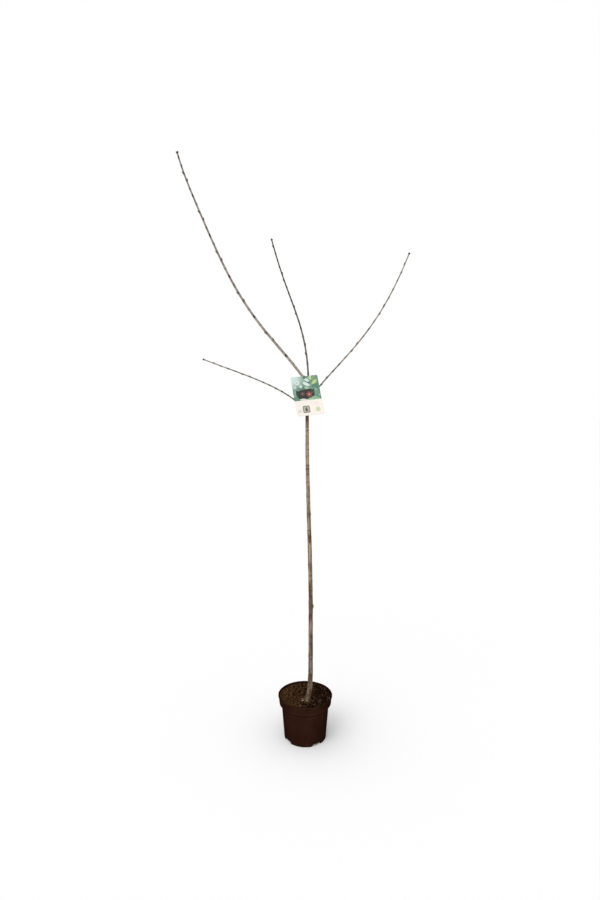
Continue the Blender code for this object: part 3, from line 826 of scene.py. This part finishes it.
def filled_in(path, longest):
    """The same path with points added so that no stretch is longer than asked."""
    points = [path[0]]
    for before, after in zip(path, path[1:]):
        pieces = max(1, math.ceil(np.linalg.norm(after - before) / longest))
        points += [before + (after - before) * number / pieces for number in range(1, pieces + 1)]
    return np.array(points)


def wall_radius(height):
    """The pot's outside radius below its band."""
    return WALL_FOOT_RADIUS + (WALL_TOP_RADIUS - WALL_FOOT_RADIUS) * height / BAND_FOOT


def pot_section():
    """Half of the pot cut down its middle, from under the floor, up the outside and down the inside."""
    lip_foot = POT_HEIGHT - LIP_HEIGHT
    return rounded((
        (0.0, 0.0, 0),
        (FOOT_DISC_RADIUS, 0.0, 0.0008),
        (FOOT_DISC_RADIUS + CHANNEL_DRAFT, CHANNEL_HEIGHT, 0.0012),
        (WALL_FOOT_RADIUS - SKIRT_WIDTH - CHANNEL_DRAFT, CHANNEL_HEIGHT, 0.0012),
        (WALL_FOOT_RADIUS - SKIRT_WIDTH, 0.0, 0.0006),
        (WALL_FOOT_RADIUS, 0.0, 0.001),
        (wall_radius(RING_HEIGHT - 0.002), RING_HEIGHT - 0.002, 0.0004),
        (wall_radius(RING_HEIGHT) + 0.0009, RING_HEIGHT - 0.0006, 0.0006),
        (wall_radius(RING_HEIGHT + 0.0022), RING_HEIGHT + 0.0022, 0.0004),
        (WALL_TOP_RADIUS, BAND_FOOT - LEDGE_SLOPE, 0.0016),
        (BAND_FOOT_RADIUS, BAND_FOOT, 0.0014),
        (POT_RIM_RADIUS - 0.002, lip_foot - 0.0008, 0.0008),
        (POT_RIM_RADIUS, lip_foot + 0.0004, 0.0012),
        (POT_RIM_RADIUS, POT_HEIGHT, 0.0018),
        (POT_RIM_RADIUS - LIP_WIDTH, POT_HEIGHT, 0.0014),
        (BAND_FOOT_RADIUS - POT_SKIN, BAND_FOOT + POT_SKIN, 0.0012),
        (WALL_TOP_RADIUS - POT_SKIN, BAND_FOOT - LEDGE_SLOPE + POT_SKIN, 0.0012),
        (WALL_FOOT_RADIUS - POT_SKIN, CHANNEL_HEIGHT + POT_FLOOR, 0.0015),
        (FOOT_DISC_RADIUS - POT_SKIN, CHANNEL_HEIGHT + POT_FLOOR, 0.0012),
        (FOOT_DISC_RADIUS - 2 * POT_SKIN, POT_FLOOR, 0.0012),
        (0.0, POT_FLOOR, 0),
    ))


def make_pot(finish):
    """The moulded container: turned wall, band and lip, pressed arches and notches at its foot."""
    section = filled_in(pot_section(), POT_SECTION_STEP)
    turn = full_turn(POT_SEGMENTS)
    radius, height = section[1:-1, 0:1], section[1:-1, 1:2]
    for notch in NOTCH_TURNS:
        across = np.abs(turn_between(turn, notch - math.pi / 2)) * WALL_FOOT_RADIUS
        crown = ARCH_HEIGHT * np.sqrt(np.clip(1.0 - (across / ARCH_HALF_WIDTH) ** 4, 0.0, 1.0))
        press = smooth_step((crown - height) / ARCH_BLEND) * (radius > WALL_FOOT_RADIUS - ARCH_INWARD)
        radius = radius - ARCH_DEPTH * press
    radius = radius + POT_OUT_OF_ROUND * np.sin(3 * turn + 0.7) * smooth_step(height / 0.1)
    points, faces = closed_tube(polar(radius, turn, height))
    points[-2:] = ((0.0, 0.0, section[0, 1]), (0.0, 0.0, section[-1, 1]))
    piece = show("pot_shell", (points, faces), finish, "pot_plastic", "pot")
    cut_notches(piece)
    piece.data.shade_smooth()
    piece.data.set_sharp_from_angle(angle=POT_SHARP_EDGE)


def cut_notches(piece):
    """Cuts the rounded drainage notches through the pot's bottom corner."""
    maker = bmesh.new()
    size = Matrix.Diagonal((NOTCH_WIDTH, 2 * NOTCH_DEPTH, 2 * NOTCH_HEIGHT, 1.0))
    for notch in NOTCH_TURNS:
        made = bmesh.ops.create_cube(maker, size=1.0, matrix=size)["verts"]
        edges = {edge for vert in made for edge in vert.link_edges}
        through = [edge for edge in edges if abs(edge.verts[0].co.y - edge.verts[1].co.y) > NOTCH_DEPTH]
        rounding = bmesh.ops.bevel(maker, geom=through, offset=NOTCH_CORNER, segments=5, profile=0.5,
                                   affect="EDGES")["verts"]
        block = set(rounding) | {vert for vert in made if vert.is_valid}
        place = Matrix.Rotation(notch, 4, "Z") @ Matrix.Translation((0.0, -WALL_FOOT_RADIUS, 0.0))
        bmesh.ops.transform(maker, matrix=place, verts=list(block))
    mesh = bpy.data.meshes.new("notch_cutters")
    maker.to_mesh(mesh)
    maker.free()
    cutter = add_object("notch_cutters", mesh)
    boolean = piece.modifiers.new("notches", "BOOLEAN")
    boolean.operation = "DIFFERENCE"
    boolean.solver = "EXACT"
    boolean.object = cutter
    result = bpy.data.meshes.new_from_object(piece.evaluated_get(bpy.context.evaluated_depsgraph_get()))
    piece.modifiers.clear()
    piece.data = result
    bpy.data.objects.remove(cutter)


# Soil

def pit_distance(x, y):
    """How far a place is from the middle of the hole by the front wall: 1 at its edge."""
    return np.hypot(x - SOIL_PIT[0], y - SOIL_PIT[1]) / SOIL_PIT_SIZE


def from_stem(x, y):
    """How far a place on the soil is from the middle of the stem's foot."""
    foot = stem_centre(SOIL_TOP)
    return np.hypot(x - foot[0], y - foot[1])


def soil_height(x, y):
    """The source's lumps, faded out to a level patch under the stem, and its rise to the wall."""
    lumps = sum(share * np.sin(a * x + b * y + shift) for a, b, shift, share in SOIL_WAVES)
    fade = smooth_step((np.hypot(x, y - STEM_FOOT_Y) - LEVEL_RADIUS) / LEVEL_BLEND)
    rise = SOIL_RISE * smooth_step((np.hypot(x, y) - SOIL_RISE_START) / SOIL_RISE_BLEND)
    return SOIL_TOP + fade * (SOIL_LUMP * lumps + rise)


def rough_soil_height(x, y):
    """The soil's top with clods and crumbs, a little of it heaped against the stem, and one hole."""
    flat = np.stack([x, y, np.zeros_like(x)], axis=-1)
    clods = sum(height * surface_noise(flat, scale, 3) for scale, height in SOIL_ROUGHNESS)
    heap = HEAP_HEIGHT * hill((from_stem(x, y) - HEAP_RADIUS) / HEAP_WIDTH)
    return soil_height(x, y) + clods + heap - SOIL_PIT_DEPTH * np.exp(-pit_distance(x, y) ** 3)


def on_ground(x, y, lift):
    """A point that stands a little over the rough soil."""
    return x, y, float(rough_soil_height(np.array(x), np.array(y))) + lift


def make_soil(finish):
    """The soil as one closed body: a rough top, and sides that follow the inside of the pot."""
    turn = full_turn(SOIL_SIDES)
    inside_foot = BAND_FOOT_RADIUS - POT_SKIN
    lean = (POT_RIM_RADIUS - LIP_WIDTH - inside_foot) / (POT_HEIGHT - BAND_FOOT - POT_SKIN)
    edge_rise = SOIL_TOP + SOIL_RISE - SOIL_LUMP - BAND_FOOT - POT_SKIN
    edge = inside_foot + lean * edge_rise - SOIL_GAP - SOIL_EDGE_GAP
    radius = edge * np.linspace(1.0, 0.0, SOIL_RINGS, endpoint=False)[:, None]
    x, y = radius * np.cos(turn), radius * np.sin(turn)
    lower = np.array([
        (FOOT_DISC_RADIUS - 3 * POT_SKIN, POT_FLOOR),
        (FOOT_DISC_RADIUS - 2 * POT_SKIN, CHANNEL_HEIGHT + POT_FLOOR),
        (WALL_FOOT_RADIUS - 2 * POT_SKIN, CHANNEL_HEIGHT + POT_FLOOR),
        (WALL_TOP_RADIUS - POT_SKIN - 2 * SOIL_GAP, BAND_FOOT - LEDGE_SLOPE + POT_SKIN),
        (inside_foot - 0.0014, BAND_FOOT + POT_SKIN),
    ])
    sides = polar(lower[:, 0:1], turn, lower[:, 1:2] + SOIL_GAP)
    top = np.stack([x, y, rough_soil_height(x, y)], axis=-1)
    shape = closed_tube(np.concatenate([sides, top]))
    # How deep in the hole each point lies, which the finish turns into painted shade
    hollow = np.pad(np.exp(-pit_distance(x, y) ** 3), ((len(lower), 0), (0, 0)))
    show("soil_body", shape, finish, "soil", "soil", marks={"hollow": padded(hollow)})


def unit_pebble():
    """The points and faces of a ball of unit size."""
    maker = bmesh.new()
    bmesh.ops.create_icosphere(maker, subdivisions=2, radius=1.0)
    points = np.array([vert.co[:] for vert in maker.verts])
    faces = np.array([[vert.index for vert in face.verts] for face in maker.faces])
    maker.free()
    return points, faces


def random_turn(rng):
    """A random rotation as a 3 by 3 array."""
    axis = Vector((rng.uniform(-1, 1), rng.uniform(-1, 1), rng.uniform(-1, 1))).normalized()
    return np.array(Matrix.Rotation(rng.uniform(0, math.tau), 3, axis))


def scatter(name, finish, rng, pebble, spots, count, sizes, shape=ROUND_LUMP, rough=0.22):
    """One piece made of many small lumps, each lying where a function puts it."""
    points, faces = pebble
    lumps = []
    for _ in range(count):
        size = sizes[0] + (sizes[1] - sizes[0]) * rng.random() ** 2.2
        lump = points * [[1.0 + rough * rng.uniform(-1, 1)] for _ in points]
        lumps.append(lump * shape @ random_turn(rng).T * size + spots(rng, size))
    offsets = np.arange(count)[:, None, None] * len(points)
    show(name, (np.concatenate(lumps), [(faces + offsets).reshape(-1, 3)]), finish, "soil", sharp=50)


def on_soil(sink, side):
    """A placing rule: on the soil but not under the stem, sunk by a share of the lump's size.

    A side of 1 keeps most lumps on the right, and of -1 on the left.
    """
    def spot(rng, size):
        while True:
            radius = LITTER_REACH * math.sqrt(rng.random())
            turn = rng.uniform(0, math.tau)
            x, y = radius * math.cos(turn), radius * math.sin(turn)
            if rng.random() > 0.55 + 0.45 * side * x / (0.4 * LITTER_REACH) or pit_distance(x, y) < 1.1:
                continue
            if from_stem(x, y) > STEM_CLEARANCE + size and radius < LITTER_REACH - size:
                return on_ground(x, y, size * (0.6 - sink))
    return spot


def on_rim(rng, size):
    """A placing rule: on top of the pot's lip, mostly in front."""
    turn = rng.gauss(-math.pi / 2 + 0.05, 0.62)
    radius = POT_RIM_RADIUS - LIP_WIDTH / 2 + rng.uniform(-0.0012, 0.0008)
    return polar(radius, turn, POT_HEIGHT + size * 0.35)


def on_band(rng, size):
    """A placing rule: stuck to the front of the pot's band, under the lip."""
    turn = rng.gauss(-math.pi / 2 + 0.06, 0.1)
    height = POT_HEIGHT - LIP_HEIGHT - 0.012 * rng.random() ** 1.6
    share = (height - BAND_FOOT) / (POT_HEIGHT - BAND_FOOT)
    radius = BAND_FOOT_RADIUS + (POT_RIM_RADIUS - 0.002 - BAND_FOOT_RADIUS) * share + size * 0.3
    return polar(radius, turn, height)


def by_stem(rng, size):
    """A placing rule: on the soil, close to the stem's left and front."""
    turn = rng.uniform(math.radians(160), math.radians(300))
    x, y, _ = stem_centre(SOIL_TOP) + polar(rng.uniform(0.013, 0.024), turn, 0.0)
    return on_ground(x, y, size * 0.4)


def make_fibres(finish, rng, steps=9, sides=4):
    """Thin root hairs and straw that lie on the soil, each a bent thread."""
    share = np.linspace(0, 1, steps)
    stacks = []
    for _ in range(FIBRE_COUNT):
        length = rng.uniform(0.008, 0.026)
        thickness = rng.uniform(0.00022, 0.00055)
        radius = FIBRE_REACH * math.sqrt(rng.random())
        turn = rng.uniform(0, math.tau)
        x, y = radius * math.cos(turn), radius * math.sin(turn)
        heading = rng.uniform(0, math.tau)
        bend = rng.uniform(-1.6, 1.6)
        line = []
        for part in share:
            line.append(on_ground(x, y, thickness * 1.4 + 0.0012 * math.sin(math.pi * part)))
            heading += bend / steps
            if math.hypot(x, y) >= FIBRE_TURN_BACK:
                heading += 0.6
            x += length / steps * math.cos(heading)
            y += length / steps * math.sin(heading)
        along = unit(np.gradient(line, axis=0))
        aside = unit(np.cross(along, (0.0, 0.0, 1.0)))
        outward = around(aside, np.cross(aside, along), full_turn(sides))
        taper = thickness * (1.0 - 0.5 * (2 * share - 1) ** 2)
        stacks.append(np.array(line)[:, None, :] + outward * taper[:, None, None])
    show("soil_fibres", joined(stacks), finish, "soil")


def make_soil_litter():
    """Crumbs, bark bits, grit and threads that lie on the soil, each kind apart, and crumbs on the lip."""
    rng = random.Random(LITTER_SEED)
    pebble = unit_pebble()
    for name, dark, light, count, sizes, shape, rough, sink, side in LITTER:
        finish = earth_finish(name, dark, light)
        scatter(name, finish, rng, pebble, on_soil(sink, side), count, sizes, shape, rough)
    rim = earth_finish("rim_crumbs", (0.012, 0.0058, 0.0032), (0.05, 0.025, 0.013))
    scatter("rim_crumbs", rim, rng, pebble, on_rim, 300, (0.0007, 0.0026))
    scatter("band_crumbs", rim, rng, pebble, on_band, 60, (0.0006, 0.0018))
    pale = earth_finish("stem_grit", (0.26, 0.215, 0.185), (0.6, 0.52, 0.46))
    scatter("stem_grit", pale, rng, pebble, by_stem, 22, (0.0008, 0.0022), rough=0.16)
    make_fibres(earth_finish("fibre", (0.06, 0.036, 0.018), (0.18, 0.12, 0.066)), rng)


# Card and strap

def card_bend(x, z):
    """How far the sheet stands back from its flat plane: its sides and foot curl to the front."""
    curl = CARD_SIDE_CURL * (x / (CARD_WIDTH / 2)) ** 2 + CARD_FOOT_CURL * (z / CARD_HEIGHT) ** 2
    return CARD_BEND_SHIFT - curl


def even_stops(low, high, extra):
    """Evenly spread stops that also hold a few exact ones."""
    stops = np.linspace(low, high, round((high - low) / CARD_STEP) + 1)
    kept = [stop for stop in stops if all(abs(stop - exact) > CARD_STEP * 0.4 for exact in extra)]
    return np.array(sorted(kept + list(extra)))


def with_round_corners(spots):
    """Moves points of the square sheet, seen from its middle, so that its corners are round."""
    flat = np.array([CARD_WIDTH, CARD_HEIGHT]) / 2 - CARD_CORNER
    over = np.maximum(np.abs(spots) - flat, 0.0)
    far = np.maximum(np.linalg.norm(over, axis=-1, keepdims=True), 1e-9)
    over = over * over.max(-1, keepdims=True) / far
    return np.sign(spots) * (np.minimum(np.abs(spots), flat) + over)


def make_card(finish):
    """The hang card: a thin bent sheet with round corners and its slot, printed by its finish."""
    slot_foot = -SLOT_BELOW_TOP - SLOT_HEIGHT
    columns = even_stops(-CARD_WIDTH / 2, CARD_WIDTH / 2, (-SLOT_WIDTH / 2, SLOT_WIDTH / 2))
    rows = even_stops(-CARD_HEIGHT, 0.0, (slot_foot, -SLOT_BELOW_TOP))
    spots = np.stack(np.meshgrid(columns, rows + CARD_HEIGHT / 2), axis=-1)
    x, z = with_round_corners(spots.reshape(-1, 2)).T
    z = z - CARD_HEIGHT / 2
    prints = np.stack([x / CARD_WIDTH + 0.5, 1.0 + z / CARD_HEIGHT], axis=-1).astype(np.float32)
    corner = np.arange(len(x)).reshape(len(rows), len(columns))
    quads = np.stack([corner[:-1, :-1], corner[:-1, 1:], corner[1:, 1:], corner[1:, :-1]], axis=-1)
    middle_x, middle_z = np.meshgrid((columns[1:] + columns[:-1]) / 2, (rows[1:] + rows[:-1]) / 2)
    in_slot = (np.abs(middle_x) < SLOT_WIDTH / 2) & (middle_z > slot_foot) & (middle_z < -SLOT_BELOW_TOP)
    points = np.stack([x, card_bend(x, z), z], axis=-1)
    piece = show("card_sheet", (points, [quads[~in_slot]]), finish, "card", "label")
    mesh = piece.data
    corners = np.zeros(len(mesh.loops), dtype=np.int32)
    mesh.loops.foreach_get("vertex_index", corners)
    mesh.uv_layers.new(name="print").data.foreach_set("uv", prints[corners].ravel())
    mesh.transform(CARD_PLACE)
    solid = piece.modifiers.new("sheet", "SOLIDIFY")
    solid.thickness = CARD_SHEET
    solid.offset = 0.0


class Print(Finish):
    """A finish laid out on the card in millimetres from its lower left, one shape over another."""

    def __init__(self, name, roughness, specular, colour):
        super().__init__(name, roughness, specular, colour)
        size = (1000 * CARD_WIDTH, 1000 * CARD_HEIGHT, 0.0)
        self.spot = self.vector("MULTIPLY", self.node("UVMap", "UV", {}, uv_map="print"), size)

    def seen_from(self, x, y, turn=0):
        """Each spot of the print as seen from one of them, in a turned frame."""
        inputs = {"Vector": self.spot, "Location": (x, y, 0.0), "Rotation": (0.0, 0.0, math.radians(turn))}
        return self.node("Mapping", "Vector", inputs, vector_type="TEXTURE")

    def within(self, spot, radius, blur=0.3):
        """1 up to a distance from the middle, with an edge that fades."""
        return self.band(self.vector("LENGTH", spot), radius - blur, radius + blur, 1.0, 0.0)

    def block(self, colour, x, y, width, height, turn=0, corner=1.0, share=1.0):
        """Prints a block with round corners."""
        spot = self.vector("ABSOLUTE", self.seen_from(x, y, turn))
        spot = self.vector("SUBTRACT", spot, (width / 2 - corner, height / 2 - corner, 0.0))
        self.lay(colour, self.within(self.vector("MAXIMUM", spot), corner), share)

    def disc(self, colour, x, y, radius, blur=0.3, share=1.0):
        self.lay(colour, self.within(self.seen_from(x, y), radius, blur), share)

    def leaf(self, colour, x, y, length, width, turn):
        """Prints a leaf, where two equal circles cross."""
        reach = (length ** 2 + width ** 2) / (4 * width)
        spot = self.seen_from(x, y, turn)
        halves = (self.vector(way, spot, (0.0, reach - width / 2, 0.0)) for way in ("ADD", "SUBTRACT"))
        self.lay(colour, self.math("MULTIPLY", *(self.within(half, reach) for half in halves)))

    def flower(self, colour, heart, x, y, reach, petal, petals, turn):
        """Prints a ring of round petals with a round heart."""
        for number in range(petals):
            angle = math.radians(turn) + math.tau * number / petals
            self.disc(colour, x + 0.6 * reach * math.cos(angle), y + 0.6 * reach * math.sin(angle), petal)
        self.disc(heart, x, y, 0.45 * petal)


def print_front(card):
    """A leafy sprig and three rings over green, two dark flowers, and care signs over cream."""
    card.lay((0.15, 0.262, 0.2), card.band(card.noise(38, 3), 0.4, 0.62))
    card.lay((0.265, 0.397, 0.327), card.band(card.noise(70, 2), 0.5, 0.62), 0.7)
    card.disc((0.6, 0.72, 0.68), -4, 156, 42, 26, 0.95)
    card.block((0.3, 0.4, 0.2), 75, 122, 46, 1.2, 86, 0.5)
    for colour, x, y, length, width, turn in CARD_SPRIG:
        card.leaf(colour, x, y, length, width, turn)
        card.block([0.72 * part for part in colour], x, y, length * 0.8, 0.5, turn, 0.2)
    for x, y, radius in ((22, 128, 9.0), (34, 112, 5.5), (12, 110, 4.0)):
        card.disc((0.64, 0.7, 0.69), x, y, radius)
        card.disc((0.44, 0.56, 0.52), x, y, 0.55 * radius)
    card.block((0.022, 0.012, 0.009), 48, 81, 68, 37, 8, 17)
    card.leaf((0.01, 0.034, 0.02), 20, 84, 30, 15, 118)
    card.leaf((0.02, 0.06, 0.036), 76, 90, 26, 12, 60)
    card.flower((0.23, 0.06, 0.05), (0.62, 0.48, 0.36), 61, 80, 9.5, 5.2, 5, 20)
    card.flower((0.085, 0.036, 0.04), (0.33, 0.26, 0.24), 36, 84, 8.0, 4.4, 6, 0)
    for leaf in CARD_LOW_LEAVES:
        card.leaf(*leaf)
    card.block((0.82, 0.757, 0.688), 52, 28, 130, 60, 0, 1)
    card.flower((0.86, 0.66, 0.69), (0.8, 0.74, 0.52), 82, 43, 7.0, 4.6, 5, 18)
    card.flower((0.84, 0.69, 0.69), (0.8, 0.74, 0.52), 62, 48, 4.6, 3.0, 5, 50)
    card.disc((0.62, 0.66, 0.448), 84, 20, 10.5)
    card.leaf((0.46, 0.54, 0.26), 84, 20, 14, 7, 60)
    card.block((0.15, 0.136, 0.1), 40, 24, 27, 27, 0, 5)
    card.block((0.43, 0.42, 0.34), 40, 24, 21, 21, 0, 3)
    card.disc((0.09, 0.082, 0.062), 40, 21, 5.2)
    card.leaf((0.09, 0.082, 0.062), 40, 26, 13, 7, 90)
    for x, height in ((8, 5), (13, 8), (18, 11)):
        card.block((0.43, 0.43, 0.43), x, 14 + height / 2, 3, height, 0, 0.6, 0.9)


def print_back(card):
    """Plainer: cream under a leafy green head, with three rows of care signs over two leaves."""
    card.lay((0.77, 0.735, 0.65), card.band(card.noise(60, 2), 0.45, 0.62), 0.6)
    card.block(CARD_GREEN, 52, 140, 130, 36)
    card.leaf((0.3, 0.47, 0.35), 26, 134, 26, 11, 24)
    card.leaf((0.42, 0.53, 0.22), 80, 134, 26, 11, 156)
    for y, share in ((98, 0.8), (74, 0.5), (50, 0.65)):
        card.disc((0.56, 0.62, 0.4), 20, y, 7.5)
        card.disc(CARD_CREAM, 20, y, 3.6)
        card.block((0.64, 0.66, 0.56), 64, y, 56, 4, 0, 1.8)
        card.block((0.2, 0.39, 0.21), 36 + 28 * share, y, 56 * share, 4, 0, 1.8)
    card.leaf((0.46, 0.54, 0.26), 40, 22, 30, 13, 28)
    card.leaf((0.19, 0.33, 0.14), 64, 22, 30, 13, 152)


def card_finish():
    """A glossy plant card, printed on both sides."""
    card = Print("card_finish", 0.32, 0.5, CARD_GREEN)
    print_front(card)
    front, card.colour = card.colour, CARD_CREAM
    print_back(card)
    card.lay(front, card.facing(CARD_TURN @ Vector((0.0, -1.0, 0.0))))
    return card.made()


def make_strap(finish, whip):
    """The loop round the long whip's foot and through the card's slot, a soft strip with round edges."""
    whip_point, along = (Vector(value[0]) for value in whip.frame(np.array([STRAP_WHIP_PLACE]))[:2])
    card_point = CARD_PLACE @ Vector((0.0, 0.0, -SLOT_BELOW_TOP / 2))
    run = card_point - whip_point
    aside = Vector((STRAP_SQUARE_TO_CARD, 0.0, 0.0)) - along
    aside = (aside - run * aside.dot(run) / run.length_squared).normalized()
    forward = run.normalized()
    up = aside.cross(forward)
    lean = math.asin((STRAP_WHIP_RADIUS - STRAP_CARD_RADIUS) / run.length)
    quarter = math.pi / 2
    thick = STRAP_THICKNESS / 2
    flat = STRAP_WIDTH / 2 - thick
    outline = [
        (end * flat + thick * math.cos(turn), thick * math.sin(turn))
        for end in (1, -1) for turn in np.linspace(-end * quarter, -end * quarter + math.pi, 7)
    ]
    rings = []
    for middle, radius, start, stop in (
        (card_point, STRAP_CARD_RADIUS, lean - quarter, quarter - lean),
        (whip_point, STRAP_WHIP_RADIUS, quarter - lean, 3 * quarter + lean),
    ):
        for turn in np.linspace(start, stop, 40):
            outward = forward * math.cos(turn) + up * math.sin(turn)
            rings.append([(middle + aside * x + outward * (radius + y))[:] for x, y in outline])
    quads = ring_quads(len(rings) + 1, len(outline)) % (len(rings) * len(outline))
    show("strap_loop", (np.array(rings).reshape(-1, 3), [quads]), finish, "strap", "label_strap")


# Studio

def make_camera():
    data = bpy.data.cameras.new("camera")
    data.sensor_width = SENSOR_LONG_SIDE
    data.lens = CAMERA_FOCAL_PIXELS * SENSOR_LONG_SIDE / PHOTO_HEIGHT_PIXELS
    camera = add_object("camera", data)
    camera.location = CAMERA_PLACE
    camera.rotation_euler = (math.pi / 2 - CAMERA_DOWN, 0.0, 0.0)
    bpy.context.scene.camera = camera


def make_floor():
    """A plain pale floor, wide enough to fill every view."""
    corners = [(x * FLOOR_HALF, y * FLOOR_HALF, 0.0) for x, y in ((-1, -1), (1, -1), (1, 1), (-1, 1))]
    mesh = make_mesh("floor", corners, [[[0, 1, 2, 3]]])
    mesh.materials.append(Finish("floor_finish", 0.95, 0.0, [FLOOR_SHADE] * 3).made())
    floor = add_object("floor", mesh)


def make_light():
    """One large soft light, high up on the left in front."""
    data = bpy.data.lights.new("key", "SUN")
    data.energy = KEY_STRENGTH
    data.angle = KEY_ANGLE
    add_object("key", data).rotation_euler = Vector(KEY_FROM).to_track_quat("Z", "Y").to_euler()


def make_surround():
    """A white surround that lights the plant most from the left in front."""
    world = bpy.data.worlds.new("studio")
    world.use_nodes = True
    tree = world.node_tree
    surround = tree.nodes["Background"]
    surround.inputs["Color"].default_value = (1.0, 1.0, 1.0, 1.0)
    view = add_node(tree, "TexCoord", "Generated", {})
    inputs = {0: view, 1: Vector(FILL_FROM).normalized()}
    toward = add_node(tree, "VectorMath", "Value", inputs, operation="DOT_PRODUCT")
    inputs = {"Value": toward, "From Min": -1.0, "To Min": FILL_FAR, "To Max": FILL_NEAR}
    fill = add_node(tree, "MapRange", "Result", inputs)
    seen = add_node(tree, "LightPath", "Is Camera Ray", {})
    inputs = {"Value": seen, "To Min": fill, "To Max": SURROUND_STRENGTH}
    fill_socket(tree, surround.inputs["Strength"], add_node(tree, "MapRange", "Result", inputs))
    bpy.context.scene.world = world
    bpy.context.scene.view_settings.view_transform = "Standard"


def main():
    make_camera()
    make_floor()
    make_light()
    make_surround()
    make_stem(bark_finish())
    rng = random.Random(WHIP_SEED)
    bud = bud_finish()
    template, edge = bud_shape()
    whips = [Whip(*values) for values in WHIPS]
    for whip in whips:
        make_whip(whip, twig_finish(whip.name, *WHIP_TONES[whip.name]), rng)
        make_buds(whip, bud, template, edge, rng)
    make_pot(pot_finish())
    make_soil(soil_finish())
    make_soil_litter()
    make_card(card_finish())
    make_strap(strap_finish(), whips[0])


main()
